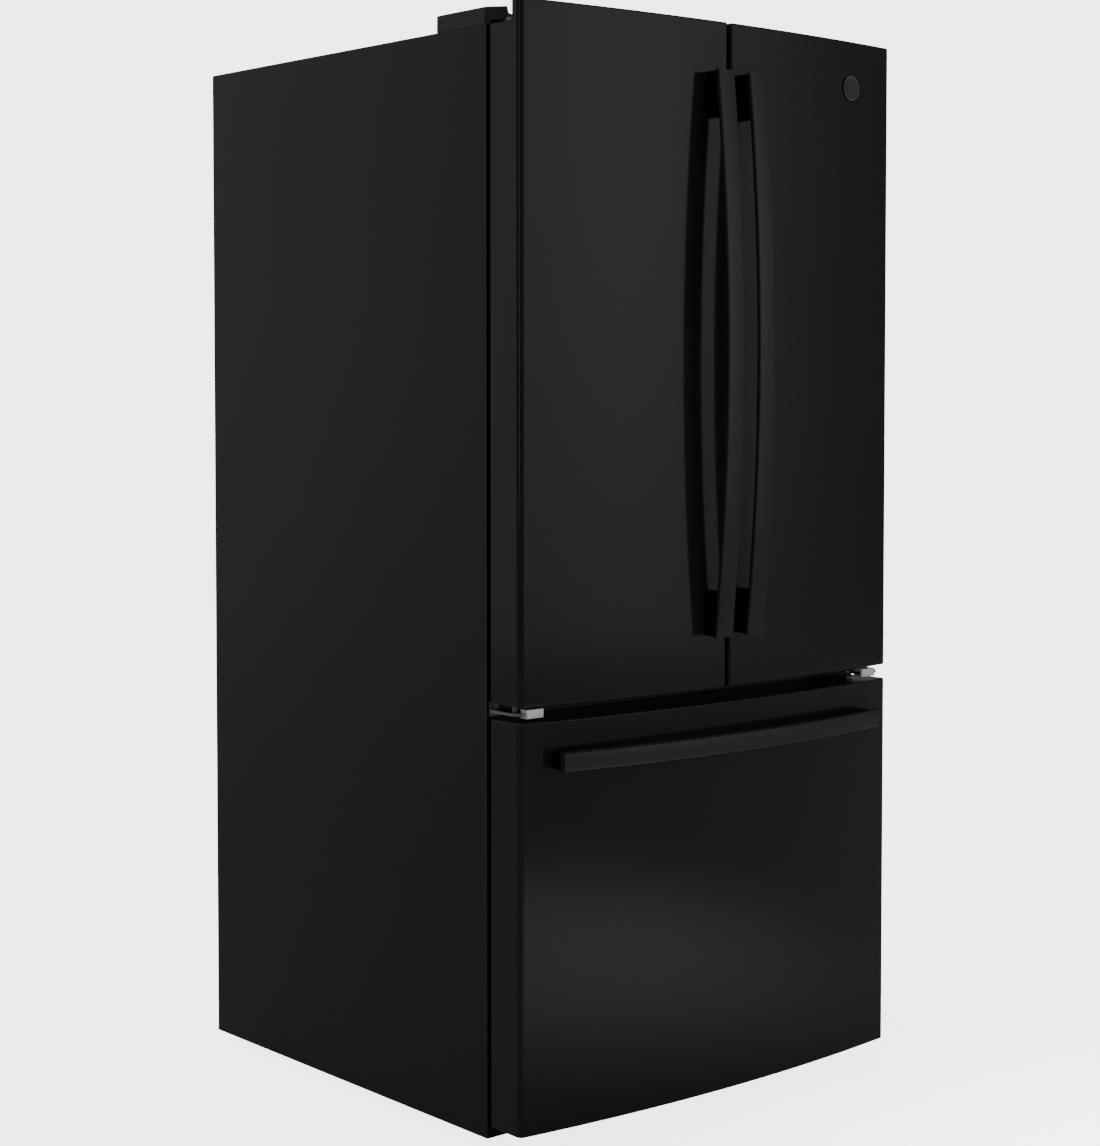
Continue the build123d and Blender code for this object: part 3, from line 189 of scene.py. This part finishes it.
class Shader(Nodes):
    """One procedural material with a Principled shader."""

    def __init__(self, name: str) -> None:
        """Makes the material.

        Args:
            name: The material's name.
        """
        self.material = bpy.data.materials.new(name)
        self.material.use_nodes = True
        super().__init__(self.material.node_tree)
        self.principled = self.tree.nodes["Principled BSDF"]
        self.place = self.node("ShaderNodeTexCoord").outputs["Object"]

    def surface(self, **inputs: Any) -> None:
        """Feeds the Principled shader, with underscores for the spaces in socket names."""
        for name, value in inputs.items():
            self.feed(self.principled.inputs[name.replace("_", " ")], value)

    def stretched(self, scale: Point) -> bpy.types.NodeSocket:
        """Returns the object's coordinates, scaled along each axis."""
        node = self.node("ShaderNodeMapping", {}, {"Vector": self.place, "Scale": scale})
        return node.outputs["Vector"]

    def noise(self, size: float, detail: float = 2.0, vector: bpy.types.NodeSocket | None = None) -> Signal:
        """Returns a noise from 0 to 1.

        Args:
            size: The size of one feature, in metres.
            detail: How many finer octaves it has.
            vector: The coordinates, or None for the object's own.
        """
        sockets = {"Vector": vector or self.place, "Scale": 1.0 / size, "Detail": detail}
        return Signal(self, self.node("ShaderNodeTexNoise", {}, sockets).outputs["Fac"])

    def cells(self, size: float, feature: str = "F1", output: str = "Distance") -> Signal:
        """Returns a cell pattern, such as spangle or foam.

        Args:
            size: The size of one cell, in metres.
            feature: The Voronoi feature.
            output: The socket that carries the pattern.
        """
        sockets = {"Vector": self.place, "Scale": 1.0 / size}
        made = self.node("ShaderNodeTexVoronoi", {"feature": feature}, sockets)
        return Signal(self, made.outputs[output])

    def remap(self, value: Signal, stops: Sequence[tuple[float, float]]) -> Signal:
        """Returns a value sent through a grey ramp."""
        ramp = self.node("ShaderNodeValToRGB", {"stops": stops}, {"Fac": value})
        return Signal(self, ramp.outputs["Color"])

    def blend(self, factor: Signal | float, first: Any, second: Any) -> bpy.types.NodeSocket:
        """Returns a colour between two colours."""
        sockets = {"Factor": factor, 6: first, 7: second}
        made = self.node("ShaderNodeMix", {"data_type": "RGBA"}, sockets)
        return made.outputs[2]

    def bump(self, height: Signal, depth: float, strength: float = 1.0) -> bpy.types.NodeSocket:
        """Returns a normal for a height from 0 to 1 that stands for a depth in metres."""
        sockets = {"Height": height, "Distance": depth, "Strength": strength}
        return self.node("ShaderNodeBump", {}, sockets).outputs["Normal"]

    def facing(self, blend: float) -> Signal:
        """Returns 0 where the surface faces the eye and 1 at its edges."""
        return Signal(self, self.node("ShaderNodeLayerWeight", {}, {"Blend": blend}).outputs["Facing"])


# -------------------------------------------------------------------- finishes


@dataclass(frozen=True)
class Enamel:
    """Sprayed paint on steel, with the fine waviness of a sprayed coat."""

    colour: Colour
    roughness: float
    specular: float = 0.5
    peel_size: float = 2.2 * MM
    peel_depth: float = 0.02 * MM
    cloud: float = 0.05

    def make(self, name: str) -> bpy.types.Material:
        """Returns the paint as a material."""
        shader = Shader(name)
        broad = shader.noise(0.35, 3.0)
        fine = shader.noise(self.peel_size, 2.0)
        lighter = tuple(min(1.0, c * 1.25 + 0.001) for c in self.colour)
        shader.surface(
            Base_Color=shader.blend(broad, self.colour, lighter),
            Roughness=(broad - 0.5) * self.cloud + fine * 0.02 + self.roughness,
            Normal=shader.bump(fine, self.peel_depth),
            Specular_IOR_Level=self.specular,
        )
        return shader.material


@dataclass(frozen=True)
class GrainedPaint:
    """Paint with a pressed leather-like grain, as on a cabinet's sides."""

    colour: Colour
    roughness: float
    specular: float = 0.5
    grain_size: float = 3.0 * MM
    grain_depth: float = 0.09 * MM

    def make(self, name: str) -> bpy.types.Material:
        """Returns the paint as a material."""
        shader = Shader(name)
        broad = shader.noise(0.5, 2.0)
        grain = shader.cells(self.grain_size, "SMOOTH_F1")
        pores = shader.noise(self.grain_size * 0.4, 3.0)
        height = grain * 0.7 + pores * 0.3
        lighter = tuple(min(1.0, c * 1.35 + 0.001) for c in self.colour)
        shader.surface(
            Base_Color=shader.blend(height, self.colour, lighter),
            Roughness=(broad - 0.5) * 0.06 + pores * 0.08 + self.roughness,
            Normal=shader.bump(height, self.grain_depth),
            Specular_IOR_Level=self.specular,
        )
        return shader.material


@dataclass(frozen=True)
class Plating:
    """Zinc on steel: crystals of slightly different grey, or a fine even plate."""

    colour: Colour
    roughness: float
    crystal: float
    contrast: float = 0.25

    def make(self, name: str) -> bpy.types.Material:
        """Returns the plated metal as a material."""
        shader = Shader(name)
        crystals = shader.cells(self.crystal, "F1", "Color")
        dust = shader.noise(self.crystal * 0.2, 3.0)
        darker = tuple(c * (1.0 - self.contrast) for c in self.colour)
        shader.surface(
            Base_Color=shader.blend(crystals * 0.8 + dust * 0.2, darker, self.colour),
            Metallic=1.0,
            Roughness=crystals * 0.12 + dust * 0.1 + self.roughness,
            Normal=shader.bump(dust, 0.01 * MM),
        )
        return shader.material


@dataclass(frozen=True)
class Moulded:
    """Moulded or vacuum-formed plastic with a fine texture."""

    colour: Colour
    roughness: float
    grain_size: float = 0.8 * MM
    grain_depth: float = 0.012 * MM
    tint: float = 0.04
    specular: float = 0.5

    def make(self, name: str) -> bpy.types.Material:
        """Returns the plastic as a material."""
        shader = Shader(name)
        broad = shader.noise(0.12, 2.0)
        grain = shader.noise(self.grain_size, 2.0)
        other = tuple(max(0.0, c - self.tint * c) for c in self.colour)
        shader.surface(
            Base_Color=shader.blend(broad, self.colour, other),
            Roughness=(broad - 0.5) * 0.06 + grain * 0.05 + self.roughness,
            Normal=shader.bump(grain, self.grain_depth),
            Specular_IOR_Level=self.specular,
        )
        return shader.material


@dataclass(frozen=True)
class Clear:
    """Clear plastic or glass, more solid where it is seen edge on."""

    colour: Colour
    body: float
    edge: float
    roughness: float

    def make(self, name: str) -> bpy.types.Material:
        """Returns the clear stuff as a material."""
        shader = Shader(name)
        facing = shader.facing(0.35)
        flow = shader.noise(0.09, 1.0)
        deeper = tuple(c * 0.8 for c in self.colour)
        shader.surface(
            Base_Color=shader.blend(facing, self.colour, deeper),
            Roughness=flow * 0.03 + self.roughness,
            Alpha=facing * self.edge + self.body,
            Normal=shader.bump(flow, 0.06 * MM),
        )
        return shader.material


@dataclass(frozen=True)
class Rubber:
    """Soft black rubber with a dusty bloom."""

    colour: Colour = (0.018, 0.018, 0.019)
    roughness: float = 0.62

    def make(self, name: str) -> bpy.types.Material:
        """Returns the rubber as a material."""
        shader = Shader(name)
        bloom = shader.noise(0.03, 4.0)
        skin = shader.noise(0.6 * MM, 2.0)
        shader.surface(
            Base_Color=shader.blend(bloom, self.colour, tuple(c * 1.9 for c in self.colour)),
            Roughness=bloom * 0.12 + self.roughness,
            Normal=shader.bump(skin, 0.02 * MM),
        )
        return shader.material


@dataclass(frozen=True)
class Brushed:
    """Bare metal brushed along one axis."""

    colour: Colour
    roughness: float
    stretch: Point = (1.0, 12.0, 12.0)

    def make(self, name: str) -> bpy.types.Material:
        """Returns the metal as a material."""
        shader = Shader(name)
        lines = shader.noise(6.0 * MM, 4.0, shader.stretched(self.stretch))
        darker = tuple(c * 0.78 for c in self.colour)
        shader.surface(
            Base_Color=shader.blend(lines, darker, self.colour),
            Metallic=1.0,
            Roughness=lines * 0.18 + self.roughness,
            Normal=shader.bump(lines, 0.015 * MM),
        )
        return shader.material


@dataclass(frozen=True)
class CutFoam:
    """Rigid foam with a cut, open-celled face."""

    colour: Colour = (0.80, 0.68, 0.40)

    def make(self, name: str) -> bpy.types.Material:
        """Returns the foam as a material."""
        shader = Shader(name)
        bubbles = shader.cells(1.6 * MM)
        shader.surface(
            Base_Color=shader.blend(bubbles, self.colour, tuple(c * 0.7 for c in self.colour)),
            Roughness=bubbles * 0.1 + 0.85,
            Normal=shader.bump(bubbles, 0.4 * MM),
        )
        return shader.material


@dataclass(frozen=True)
class Lens:
    """A frosted light lens that glows a little."""

    colour: Colour = (0.93, 0.94, 0.95)
    glow: float = 12.0

    def make(self, name: str) -> bpy.types.Material:
        """Returns the lens as a material."""
        shader = Shader(name)
        frost = shader.noise(0.5 * MM, 2.0)
        shader.surface(
            Base_Color=shader.blend(frost, self.colour, tuple(c * 0.92 for c in self.colour)),
            Roughness=frost * 0.1 + 0.4,
            Emission_Color=shader.blend(frost, self.colour, tuple(c * 0.85 for c in self.colour)),
            Emission_Strength=self.glow,
            Normal=shader.bump(frost, 0.02 * MM),
        )
        return shader.material


@dataclass(frozen=True)
class RimmedLiner:
    """A white formed door liner whose rim, outside the door seal, is the black of the folded skin."""

    gasket: str
    inner: Colour = (0.80, 0.81, 0.81)
    rim: Colour = (0.010, 0.010, 0.0102)
    roughness: float = 0.28

    def make(self, name: str) -> bpy.types.Material:
        """Returns the liner's plastic and the paint round it as one material."""
        low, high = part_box(self.gasket)
        shader = Shader(name)
        parts = shader.node("ShaderNodeSeparateXYZ", {}, {0: shader.place}).outputs
        across, up = Signal(shader, parts["X"]), Signal(shader, parts["Z"])
        within = across.above(low.x) * across.below(high.x) * up.above(low.z) * up.below(high.z)
        grain = shader.noise(0.8 * MM, 2.0)
        shader.surface(
            Base_Color=shader.blend(within, self.rim, self.inner),
            Roughness=grain * 0.05 + self.roughness,
            Normal=shader.bump(grain, 0.012 * MM),
            Specular_IOR_Level=0.3,
        )
        return shader.material


@dataclass(frozen=True)
class BadgeDisc:
    """A round badge: a bright plated rim round a darker dished middle."""

    rim: Colour
    middle: Colour
    roughness: float
    rim_at: float

    def make(self, name: str) -> bpy.types.Material:
        """Returns the badge's metal, which turns brighter away from its centre."""
        low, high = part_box("badge")
        shader = Shader(name)
        centre = tuple((low + high) / 2)
        reach = shader.node("ShaderNodeVectorMath", {"operation": "DISTANCE"}, {0: shader.place, 1: centre})
        share = Signal(shader, reach.outputs["Value"]) * (2.0 / (high.z - low.z))
        edge = shader.remap(share, ((self.rim_at - 0.04, 0.0), (self.rim_at, 1.0)))
        shader.surface(
            Base_Color=shader.blend(edge, self.middle, self.rim),
            Metallic=1.0,
            Roughness=shader.noise(1.5 * MM, 2.0) * 0.08 + self.roughness,
        )
        return shader.material


class Slot(Enum):
    """The record's material slots, each with its finish."""

    black_gloss = Enamel(
        (0.010, 0.010, 0.0102), 0.10, specular=0.13, peel_depth=0.005 * MM, cloud=0.03
    )
    black_paint = GrainedPaint((0.0036, 0.0036, 0.0037), 0.34, specular=0.16)
    handle_black = Enamel(
        (0.014, 0.014, 0.0143), 0.26, specular=0.17, peel_size=1.2 * MM, peel_depth=0.004 * MM
    )
    post_black = Moulded((0.0012, 0.0012, 0.0012), 0.6, specular=0.04)
    galvanised = Plating((0.62, 0.63, 0.64), 0.32, 14 * MM)
    # painted shade: this zinc grey is darker than bare zinc plate, standing in for the shadow that the hinge
    # brackets sit in
    zinc = Plating((0.15, 0.15, 0.145), 0.30, 1.4 * MM, 0.15)
    white_metal = Enamel((0.80, 0.80, 0.79), 0.32)
    foam = CutFoam()
    white_plastic = Moulded((0.80, 0.81, 0.81), 0.28)
    grey_plastic = Moulded((0.52, 0.53, 0.54), 0.42)
    light_plastic = Moulded((0.70, 0.70, 0.68), 0.35)
    black_plastic = Moulded((0.012, 0.012, 0.012), 0.42, 1.2 * MM, 0.03 * MM, specular=0.2)
    clear_plastic = Clear((0.86, 0.91, 0.93), 0.16, 0.6, 0.08)
    light_lens = Lens()
    glass = Clear((0.72, 0.88, 0.84), 0.14, 0.62, 0.04)
    gasket = Rubber()
    aluminium = Brushed((0.78, 0.79, 0.80), 0.28)
    compressor_paint = Enamel((0.01, 0.01, 0.01), 0.3, peel_depth=0.05 * MM)
    badge_metal = BadgeDisc((0.10, 0.10, 0.10), (0.05, 0.05, 0.05), 0.34, 0.86)


class Palette:
    """Makes each finish once and gives it to pieces."""

    def __init__(self) -> None:
        """Starts with no finish made."""
        self.made: dict[Slot, bpy.types.Material] = {}

    def finish(self, slot: Slot) -> bpy.types.Material:
        """Returns a slot's material, made on first use."""
        if slot not in self.made:
            self.made[slot] = slot.value.make(slot.name)
        return self.made[slot]

    def dress(self, piece: bpy.types.Object, slot: Slot) -> None:
        """Puts a slot's finish on the whole of a piece."""
        piece.data.materials.clear()
        piece.data.materials.append(self.finish(slot))

    def dress_frame(self) -> None:
        """Dresses every CAD node with its own slot's finish."""
        for row in frame["record"]["subparts"]:
            self.dress(frame["nodes"][row["node"]], Slot[row["material_slot"]])
            LOG.info("dressed %s", row["node"])

    def dress_liners(self) -> None:
        """Gives each door's liner its white middle and black rim."""
        for door in ("left_door", "right_door", "drawer"):
            liner = frame["nodes"][f"{door}_liner"]
            liner.data.materials.clear()
            liner.data.materials.append(RimmedLiner(f"{door}_gasket").make(f"{door}_liner_white"))


# ---------------------------------------------------------------------- meshes


def mesh_piece(
    name: str, points: Sequence[Point], faces: Sequence[Sequence[int]], smooth: float = 0.6
) -> bpy.types.Object:
    """Makes an object from points and faces, smooth where its faces meet at a small angle.

    Args:
        name: The piece's name.
        points: The corners, in metres.
        faces: Corner indexes of each face.
        smooth: The largest angle that is shaded smooth, in radians.

    Returns:
        The new object, linked to the scene.
    """
    mesh = bpy.data.meshes.new(name)
    mesh.from_pydata(points, [], faces)
    mesh.validate()
    mesh.shade_smooth()
    mesh.set_sharp_from_angle(angle=smooth)
    piece = bpy.data.objects.new(name, mesh)
    bpy.context.scene.collection.objects.link(piece)
    return piece


def place(
    piece: bpy.types.Object, body: str, slot: Slot, palette: Palette, replaces: Sequence[str] = ()
) -> None:
    """Dresses a piece, lets it ride on its body, and hides the CAD nodes that it stands for.

    Args:
        piece: The finished piece.
        body: The body that it rides on.
        slot: The slot that it takes its finish from.
        palette: The finishes.
        replaces: The CAD nodes that it stands for, if any.
    """
    palette.dress(piece, slot)
    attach(piece, body)
    if replaces:
        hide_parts(*replaces)
    LOG.info("made %s on %s", piece.name, body)


@dataclass
class DoorGasket:
    """A pleated door seal with a magnet bulb, swept round a door with mitred corners."""

    body: str
    node: str
    lip: float = 1.0 * MM
    pleat: float = 1.3 * MM
    width: float = 12.0 * MM
    bulb_in: float = 2.0 * MM
    bulb_h: float = 3.2 * MM
    bulb_edge: float = 0.5 * MM
    pleats: int = 2
    smooth: float = 0.9

    def profile(self, depth: float) -> list[tuple[float, float]]:
        """Returns the section: how far in from the outer edge, and how far off the door.

        Args:
            depth: The seal's whole height off the door.

        Returns:
            The corners, round one whole section.
        """
        step = (depth - self.bulb_h - self.lip) / (2 * self.pleats)
        side = [(0.0, 0.0), (0.0, self.lip)]
        for index in range(2 * self.pleats - 1):
            inset = self.bulb_in + (self.pleat if index % 2 == 0 else 0.0)
            side.append((inset, self.lip + step * (index + 1)))
        side.append((self.bulb_in, depth - self.bulb_h))
        side.append((self.bulb_in, depth - self.bulb_edge))
        side.append((self.bulb_in + self.bulb_edge, depth))
        other = [(self.width - t, d) for t, d in reversed(side)]
        return side + other

    def build(self, palette: Palette) -> None:
        """Makes the seal in place of its CAD node."""
        low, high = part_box(self.node)
        section = self.profile(high.y - low.y)
        points: list[Point] = []
        for t, d in section:
            y = low.y + d
            points += [
                (low.x + t, y, low.z + t), (high.x - t, y, low.z + t),
                (high.x - t, y, high.z - t), (low.x + t, y, high.z - t),
            ]
        faces: list[tuple[int, ...]] = []
        for index in range(len(section)):
            here = 4 * index
            beyond = 4 * ((index + 1) % len(section))
            for turn in range(4):
                after = (turn + 1) % 4
                faces.append((here + turn, here + after, beyond + after, beyond + turn))
        piece = mesh_piece(f"{self.node}_pleated", points, faces, self.smooth)
        place(piece, self.body, Slot.gasket, palette, [self.node])


@dataclass
class HandleBar:
    """A flat bar bowed to one true arc, with its two front edges rounded."""

    body: str
    node: str
    upright: bool
    thickness: float
    corner: float
    stations: int = 72
    corner_steps: int = 6
    back_edge: float = 0.5 * MM
    smooth: float = 0.7

    def section(self, width: float) -> list[tuple[float, float]]:
        """Returns the section: place across the bar, and depth behind its front face.

        Args:
            width: The bar's width.

        Returns:
            The corners, round one whole section.
        """
        half = width / 2
        points = [(-half, self.thickness - self.back_edge)]
        for side in (-1, 1):
            arc = []
            for step in range(self.corner_steps + 1):
                angle = math.pi / 2 * step / self.corner_steps
                arc.append((
                    side * (half - self.corner + self.corner * math.cos(angle)),
                    self.corner - self.corner * math.sin(angle),
                ))
            points += arc if side < 0 else reversed(arc)
        points.append((half, self.thickness - self.back_edge))
        points.append((half - self.back_edge, self.thickness))
        points.append((self.back_edge - half, self.thickness))
        return points

    def build(self, palette: Palette) -> None:
        """Makes the bar in place of its CAD node."""
        low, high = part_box(self.node)
        start, end = (low.z, high.z) if self.upright else (low.x, high.x)
        side_low, side_high = (low.x, high.x) if self.upright else (low.z, high.z)
        half = (end - start) / 2
        bow = high.y - self.thickness - low.y
        radius = (half * half + bow * bow) / (2 * bow)
        section = self.section(side_high - side_low)
        middle = (side_low + side_high) / 2
        points: list[Point] = []
        for station in range(self.stations + 1):
            along = half * (2 * station / self.stations - 1)
            front = low.y + radius - math.sqrt(radius * radius - along * along)
            for across, depth in section:
                if self.upright:
                    points.append((middle + across, front + depth, start + half + along))
                else:
                    points.append((start + half + along, front + depth, middle + across))
        count = len(section)
        faces: list[tuple[int, ...]] = []
        for station in range(self.stations):
            here = station * count
            beyond = here + count
            for corner in range(count):
                after = (corner + 1) % count
                faces.append((here + corner, here + after, beyond + after, beyond + corner))
        faces.append(tuple(reversed(range(count))))
        faces.append(tuple(range(self.stations * count, (self.stations + 1) * count)))
        if not self.upright:
            faces = [tuple(reversed(face)) for face in faces]
        piece = mesh_piece(f"{self.node}_bowed", points, faces, self.smooth)
        place(piece, self.body, Slot.handle_black, palette, [self.node])


@dataclass
class PressedPanel:
    """The steel back panel, with raised fields pressed into it to stiffen it."""

    node: str = "back_panel"
    body: str = "cabinet"
    columns: int = 2
    rows: int = 4
    margin: float = 45.0 * MM
    slope: float = 9.0 * MM
    rise: float = 2.2 * MM
    steps: int = 4
    smooth: float = 0.9

    def lines(self, low: float, high: float, count: int) -> list[tuple[float, float]]:
        """Returns grid lines along one axis and how far each is inside a field, from 0 to 1."""
        found = [(low, 0.0)]
        pitch = (high - low - self.margin) / count
        for index in range(count):
            start = low + self.margin + index * pitch
            end = start + pitch - self.margin
            for step in range(self.steps + 1):
                share = step / self.steps
                found.append((start + self.slope * share, share))
            for step in range(self.steps + 1):
                share = 1 - step / self.steps
                found.append((end - self.slope * share, share))
        found.append((high, 0.0))
        return found

    def build(self, palette: Palette) -> None:
        """Makes the pressed sheet in place of the flat CAD panel."""
        low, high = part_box(self.node)
        across = self.lines(low.x, high.x, self.columns)
        up = self.lines(low.z, high.z, self.rows)
        points = []
        for z, inside_z in up:
            for x, inside_x in across:
                share = min(inside_x, inside_z)
                eased = share * share * (3 - 2 * share)
                points.append((x, high.y + self.rise * eased, z))
        wide = len(across)
        faces = [
            (corner + wide, corner + wide + 1, corner + 1, corner)
            for row in range(len(up) - 1)
            for corner in range(row * wide, row * wide + wide - 1)
        ]
        piece = mesh_piece("back_panel_pressed", points, faces, self.smooth)
        sheet = piece.modifiers.new("sheet", "SOLIDIFY")
        sheet.thickness = high.y - low.y
        sheet.offset = -1.0
        place(piece, self.body, Slot.galvanised, palette, [self.node])


@dataclass
class ControlKeys:
    """The soft key pads and status lights set into the control panel's face."""

    node: str = "control_panel"
    keys: int = 5
    pitch: float = 40.0 * MM
    length: float = 23.0 * MM
    width: float = 11.0 * MM
    light: float = 1.6 * MM
    setback: float = 42.0 * MM
    sunk: float = 0.9 * MM
    drop: float = 1.5 * MM
    round_steps: int = 12
    crown: tuple[tuple[float, float], ...] = ((1.0, 0.0), (1.0, 0.4), (0.86, 0.85), (0.6, 1.0))

    def pad(self, middle: Point, length: float, width: float) -> tuple[list[Point], list[tuple[int, ...]]]:
        """Makes one rounded pad that hangs a little below a face.

        Args:
            middle: The middle of the pad's upper face.
            length: The pad's whole length.
            width: The pad's whole width.

        Returns:
            The pad's points, and its faces.
        """
        x, y, z = middle
        radius = width / 2
        rim = []
        for side, start in ((1, -math.pi / 2), (-1, math.pi / 2)):
            for step in range(self.round_steps + 1):
                rim.append((side * (length / 2 - radius), start + math.pi * step / self.round_steps))
        points: list[Point] = []
        for scale, down in self.crown:
            reach = radius * scale
            for centre, angle in rim:
                points.append((
                    x + centre + math.cos(angle) * reach,
                    y + math.sin(angle) * reach,
                    z - self.drop * down,
                ))
        count = len(rim)
        faces: list[tuple[int, ...]] = []
        for ring in range(len(self.crown) - 1):
            here = ring * count
            beyond = here + count
            for corner in range(count):
                after = (corner + 1) % count
                faces.append((here + corner, beyond + corner, beyond + after, here + after))
        faces.append(tuple(range(len(points) - count, len(points))))
        faces.append(tuple(reversed(range(count))))
        return points, faces

    def build(self, palette: Palette) -> None:
        """Makes the pads and their lights as two pieces."""
        low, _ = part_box(self.node)
        for name, slot, length, width, shift in (
            ("key_pads", Slot.light_plastic, self.length, self.width, 0.0),
            ("key_lights", Slot.light_lens, 2 * self.light, self.light * 1.99, -self.width),
        ):
            points: list[Point] = []
            faces: list[tuple[int, ...]] = []
            for index in range(self.keys):
                x = (index - (self.keys - 1) / 2) * self.pitch
                middle = (x, low.y + self.setback + shift, low.z + self.sunk)
                new_points, new_faces = self.pad(middle, length, width)
                start = len(points)
                points += new_points
                faces += [tuple(i + start for i in face) for face in new_faces]
            place(mesh_piece(name, points, faces), "cabinet", slot, palette)


# ---------------------------------------------------------------------- studio


def hang(name: str, data: bpy.types.Light, at: Point, towards: Vector) -> None:
    """Puts a lamp in the scene.

    Args:
        name: The lamp's name.
        data: Its light.
        at: Where it is.
        towards: The direction that it shines in.
    """
    lamp = bpy.data.objects.new(name, data)
    bpy.context.scene.collection.objects.link(lamp)
    lamp.location = at
    lamp.rotation_euler = towards.to_track_quat("-Z", "Y").to_euler()


@dataclass
class Softbox:
    """One large soft studio lamp aimed at a point."""

    name: str
    at: Point
    aim: Point
    size: tuple[float, float]
    power: float

    def build(self) -> None:
        """Makes the lamp."""
        data = bpy.data.lights.new(self.name, "AREA")
        data.shape = "RECTANGLE"
        data.size, data.size_y = self.size
        data.energy = self.power
        hang(self.name, data, self.at, Vector(self.aim) - Vector(self.at))


@dataclass
class FloorPool:
    """A soft round pool of light on the floor before the drawer."""

    at: Point = (0.27, -1.52, 3.4)
    power: float = 1450.0
    cone: float = math.radians(34)
    softness: float = 0.4

    def build(self) -> None:
        """Makes the lamp."""
        data = bpy.data.lights.new("pool", "SPOT")
        data.energy = self.power
        data.spot_size = self.cone
        data.spot_blend = 1.0
        data.shadow_soft_size = self.softness
        hang("pool", data, self.at, Vector((0.0, 0.0, -1.0)))


@dataclass
class Overhead:
    """Wide soft light from above and a little behind."""

    strength: float = 2.0
    spread: float = math.radians(50)
    towards: Point = (0.16, -0.20, -1.0)

    def build(self) -> None:
        """Makes the lamp."""
        data = bpy.data.lights.new("overhead", "SUN")
        data.energy = self.strength
        data.angle = self.spread
        hang("overhead", data, (0.0, 0.0, 0.0), Vector(self.towards))


@dataclass
class Studio:
    """The floor, the lamps, the surroundings and the camera."""

    floor_r: float = 6.5
    floor_sides: int = 96
    floor_dark: Colour = (0.86, 0.86, 0.86)
    floor_light: Colour = (0.88, 0.88, 0.88)
    floor_lift: float = 3.7
    bounce: Colour = (0.5, 0.5, 0.5)
    backdrop: float = 4.2
    surroundings: float = 0.16
    front_axis: Point = (0.52, -0.85, 0.12)
    front_sharp: float = 19.0
    front_glow: float = 2.1
    rear_axis: Point = (-0.62, 0.78, 0.15)
    rear_sharp: float = 5.0
    rear_glow: float = 0.75
    camera_at: Point = (-2.598, -3.0338, 1.2027)
    turn: float = math.radians(40.299)
    tilt: float = math.radians(2.437)
    lens: float = 71.313
    shift: float = -0.085

    def build_floor(self) -> None:
        """Makes a plain pale floor."""
        points: list[Point] = [(0.0, 0.0, 0.0)]
        for side in range(self.floor_sides):
            angle = 2 * math.pi * side / self.floor_sides
            points.append((self.floor_r * math.cos(angle), self.floor_r * math.sin(angle), 0.0))
        faces = [(0, side + 1, (side + 1) % self.floor_sides + 1) for side in range(self.floor_sides)]
        floor = mesh_piece("floor", points, faces)
        shader = Shader("pale_floor")
        mottle = shader.noise(0.6, 3.0)
        shader.surface(
            Base_Color=shader.blend(mottle, self.floor_dark, self.floor_light),
            Roughness=mottle * 0.05 + 0.7,
            Specular_IOR_Level=0.1,
            Emission_Color=(1.0, 1.0, 1.0),
            Emission_Strength=self.floor_lift,
        )
        bounce = shader.node("ShaderNodeBsdfDiffuse", {}, {"Color": self.bounce})
        path = shader.node("ShaderNodeLightPath")
        sockets = {0: path.outputs["Is Camera Ray"], 1: bounce.outputs[0], 2: shader.principled.outputs[0]}
        choice = shader.node("ShaderNodeMixShader", {}, sockets)
        shader.feed(shader.tree.nodes["Material Output"].inputs["Surface"], choice.outputs[0])
        floor.data.materials.append(shader.material)

    def build_world(self) -> None:
        """Makes pale surroundings, brighter behind the object than on it."""
        world = bpy.data.worlds.new("surroundings")
        bpy.context.scene.world = world
        world.use_nodes = True
        sky = Nodes(world.node_tree)
        direction = sky.node("ShaderNodeTexCoord").outputs["Generated"]
        front = sky.along(direction, self.front_axis, self.front_sharp) * self.front_glow
        soft = front + sky.along(direction, self.rear_axis, self.rear_sharp) * self.rear_glow
        path = sky.node("ShaderNodeLightPath")
        seen = Signal(sky, path.outputs["Is Camera Ray"])
        strength = seen * self.backdrop + (1 - seen) * (soft + self.surroundings)
        background = world.node_tree.nodes["Background"].inputs
        sky.feed(background["Strength"], strength)
        sky.feed(background["Color"], (1.0, 1.0, 1.0))

    def build_lamps(self) -> None:
        """Makes the soft lamps."""
        Softbox("rim", (-4.5, -2.4, 1.8), (-0.4, -0.4, 1.0), (0.5, 2.2), 14.0).build()
        FloorPool().build()
        Overhead().build()

    def build_camera(self) -> None:
        """Makes the camera."""
        data = bpy.data.cameras.new("camera")
        data.lens = self.lens
        data.sensor_width = 36.0
        data.shift_y = self.shift
        data.clip_end = 60.0
        camera = bpy.data.objects.new("camera", data)
        bpy.context.scene.collection.objects.link(camera)
        camera.location = self.camera_at
        flat = math.cos(self.tilt)
        look = Vector((math.sin(self.turn) * flat, math.cos(self.turn) * flat, -math.sin(self.tilt)))
        camera.rotation_euler = look.to_track_quat("-Z", "Y").to_euler()
        bpy.context.scene.camera = camera

    def build(self) -> None:
        """Makes the whole studio."""
        self.build_floor()
        self.build_world()
        self.build_lamps()
        self.build_camera()


def main() -> None:
    """Dresses the frame and builds each added piece, then the studio."""
    logging.basicConfig(level=logging.INFO, format="%(name)s: %(message)s")
    palette = Palette()
    palette.dress_frame()
    palette.dress_liners()
    DoorGasket("left_door", "left_door_gasket").build(palette)
    DoorGasket("right_door", "right_door_gasket").build(palette)
    DoorGasket("freezer_drawer", "drawer_gasket").build(palette)
    HandleBar("left_door", "left_door_handle_bar", True, 7.0 * MM, 2.33 * MM).build(palette)
    HandleBar("right_door", "right_door_handle_bar", True, 7.0 * MM, 2.33 * MM).build(palette)
    HandleBar("freezer_drawer", "drawer_handle_bar", False, 11.0 * MM, 2.75 * MM).build(palette)
    PressedPanel().build(palette)
    ControlKeys().build(palette)
    Studio().build()


if __name__ == "__main__":
    main()
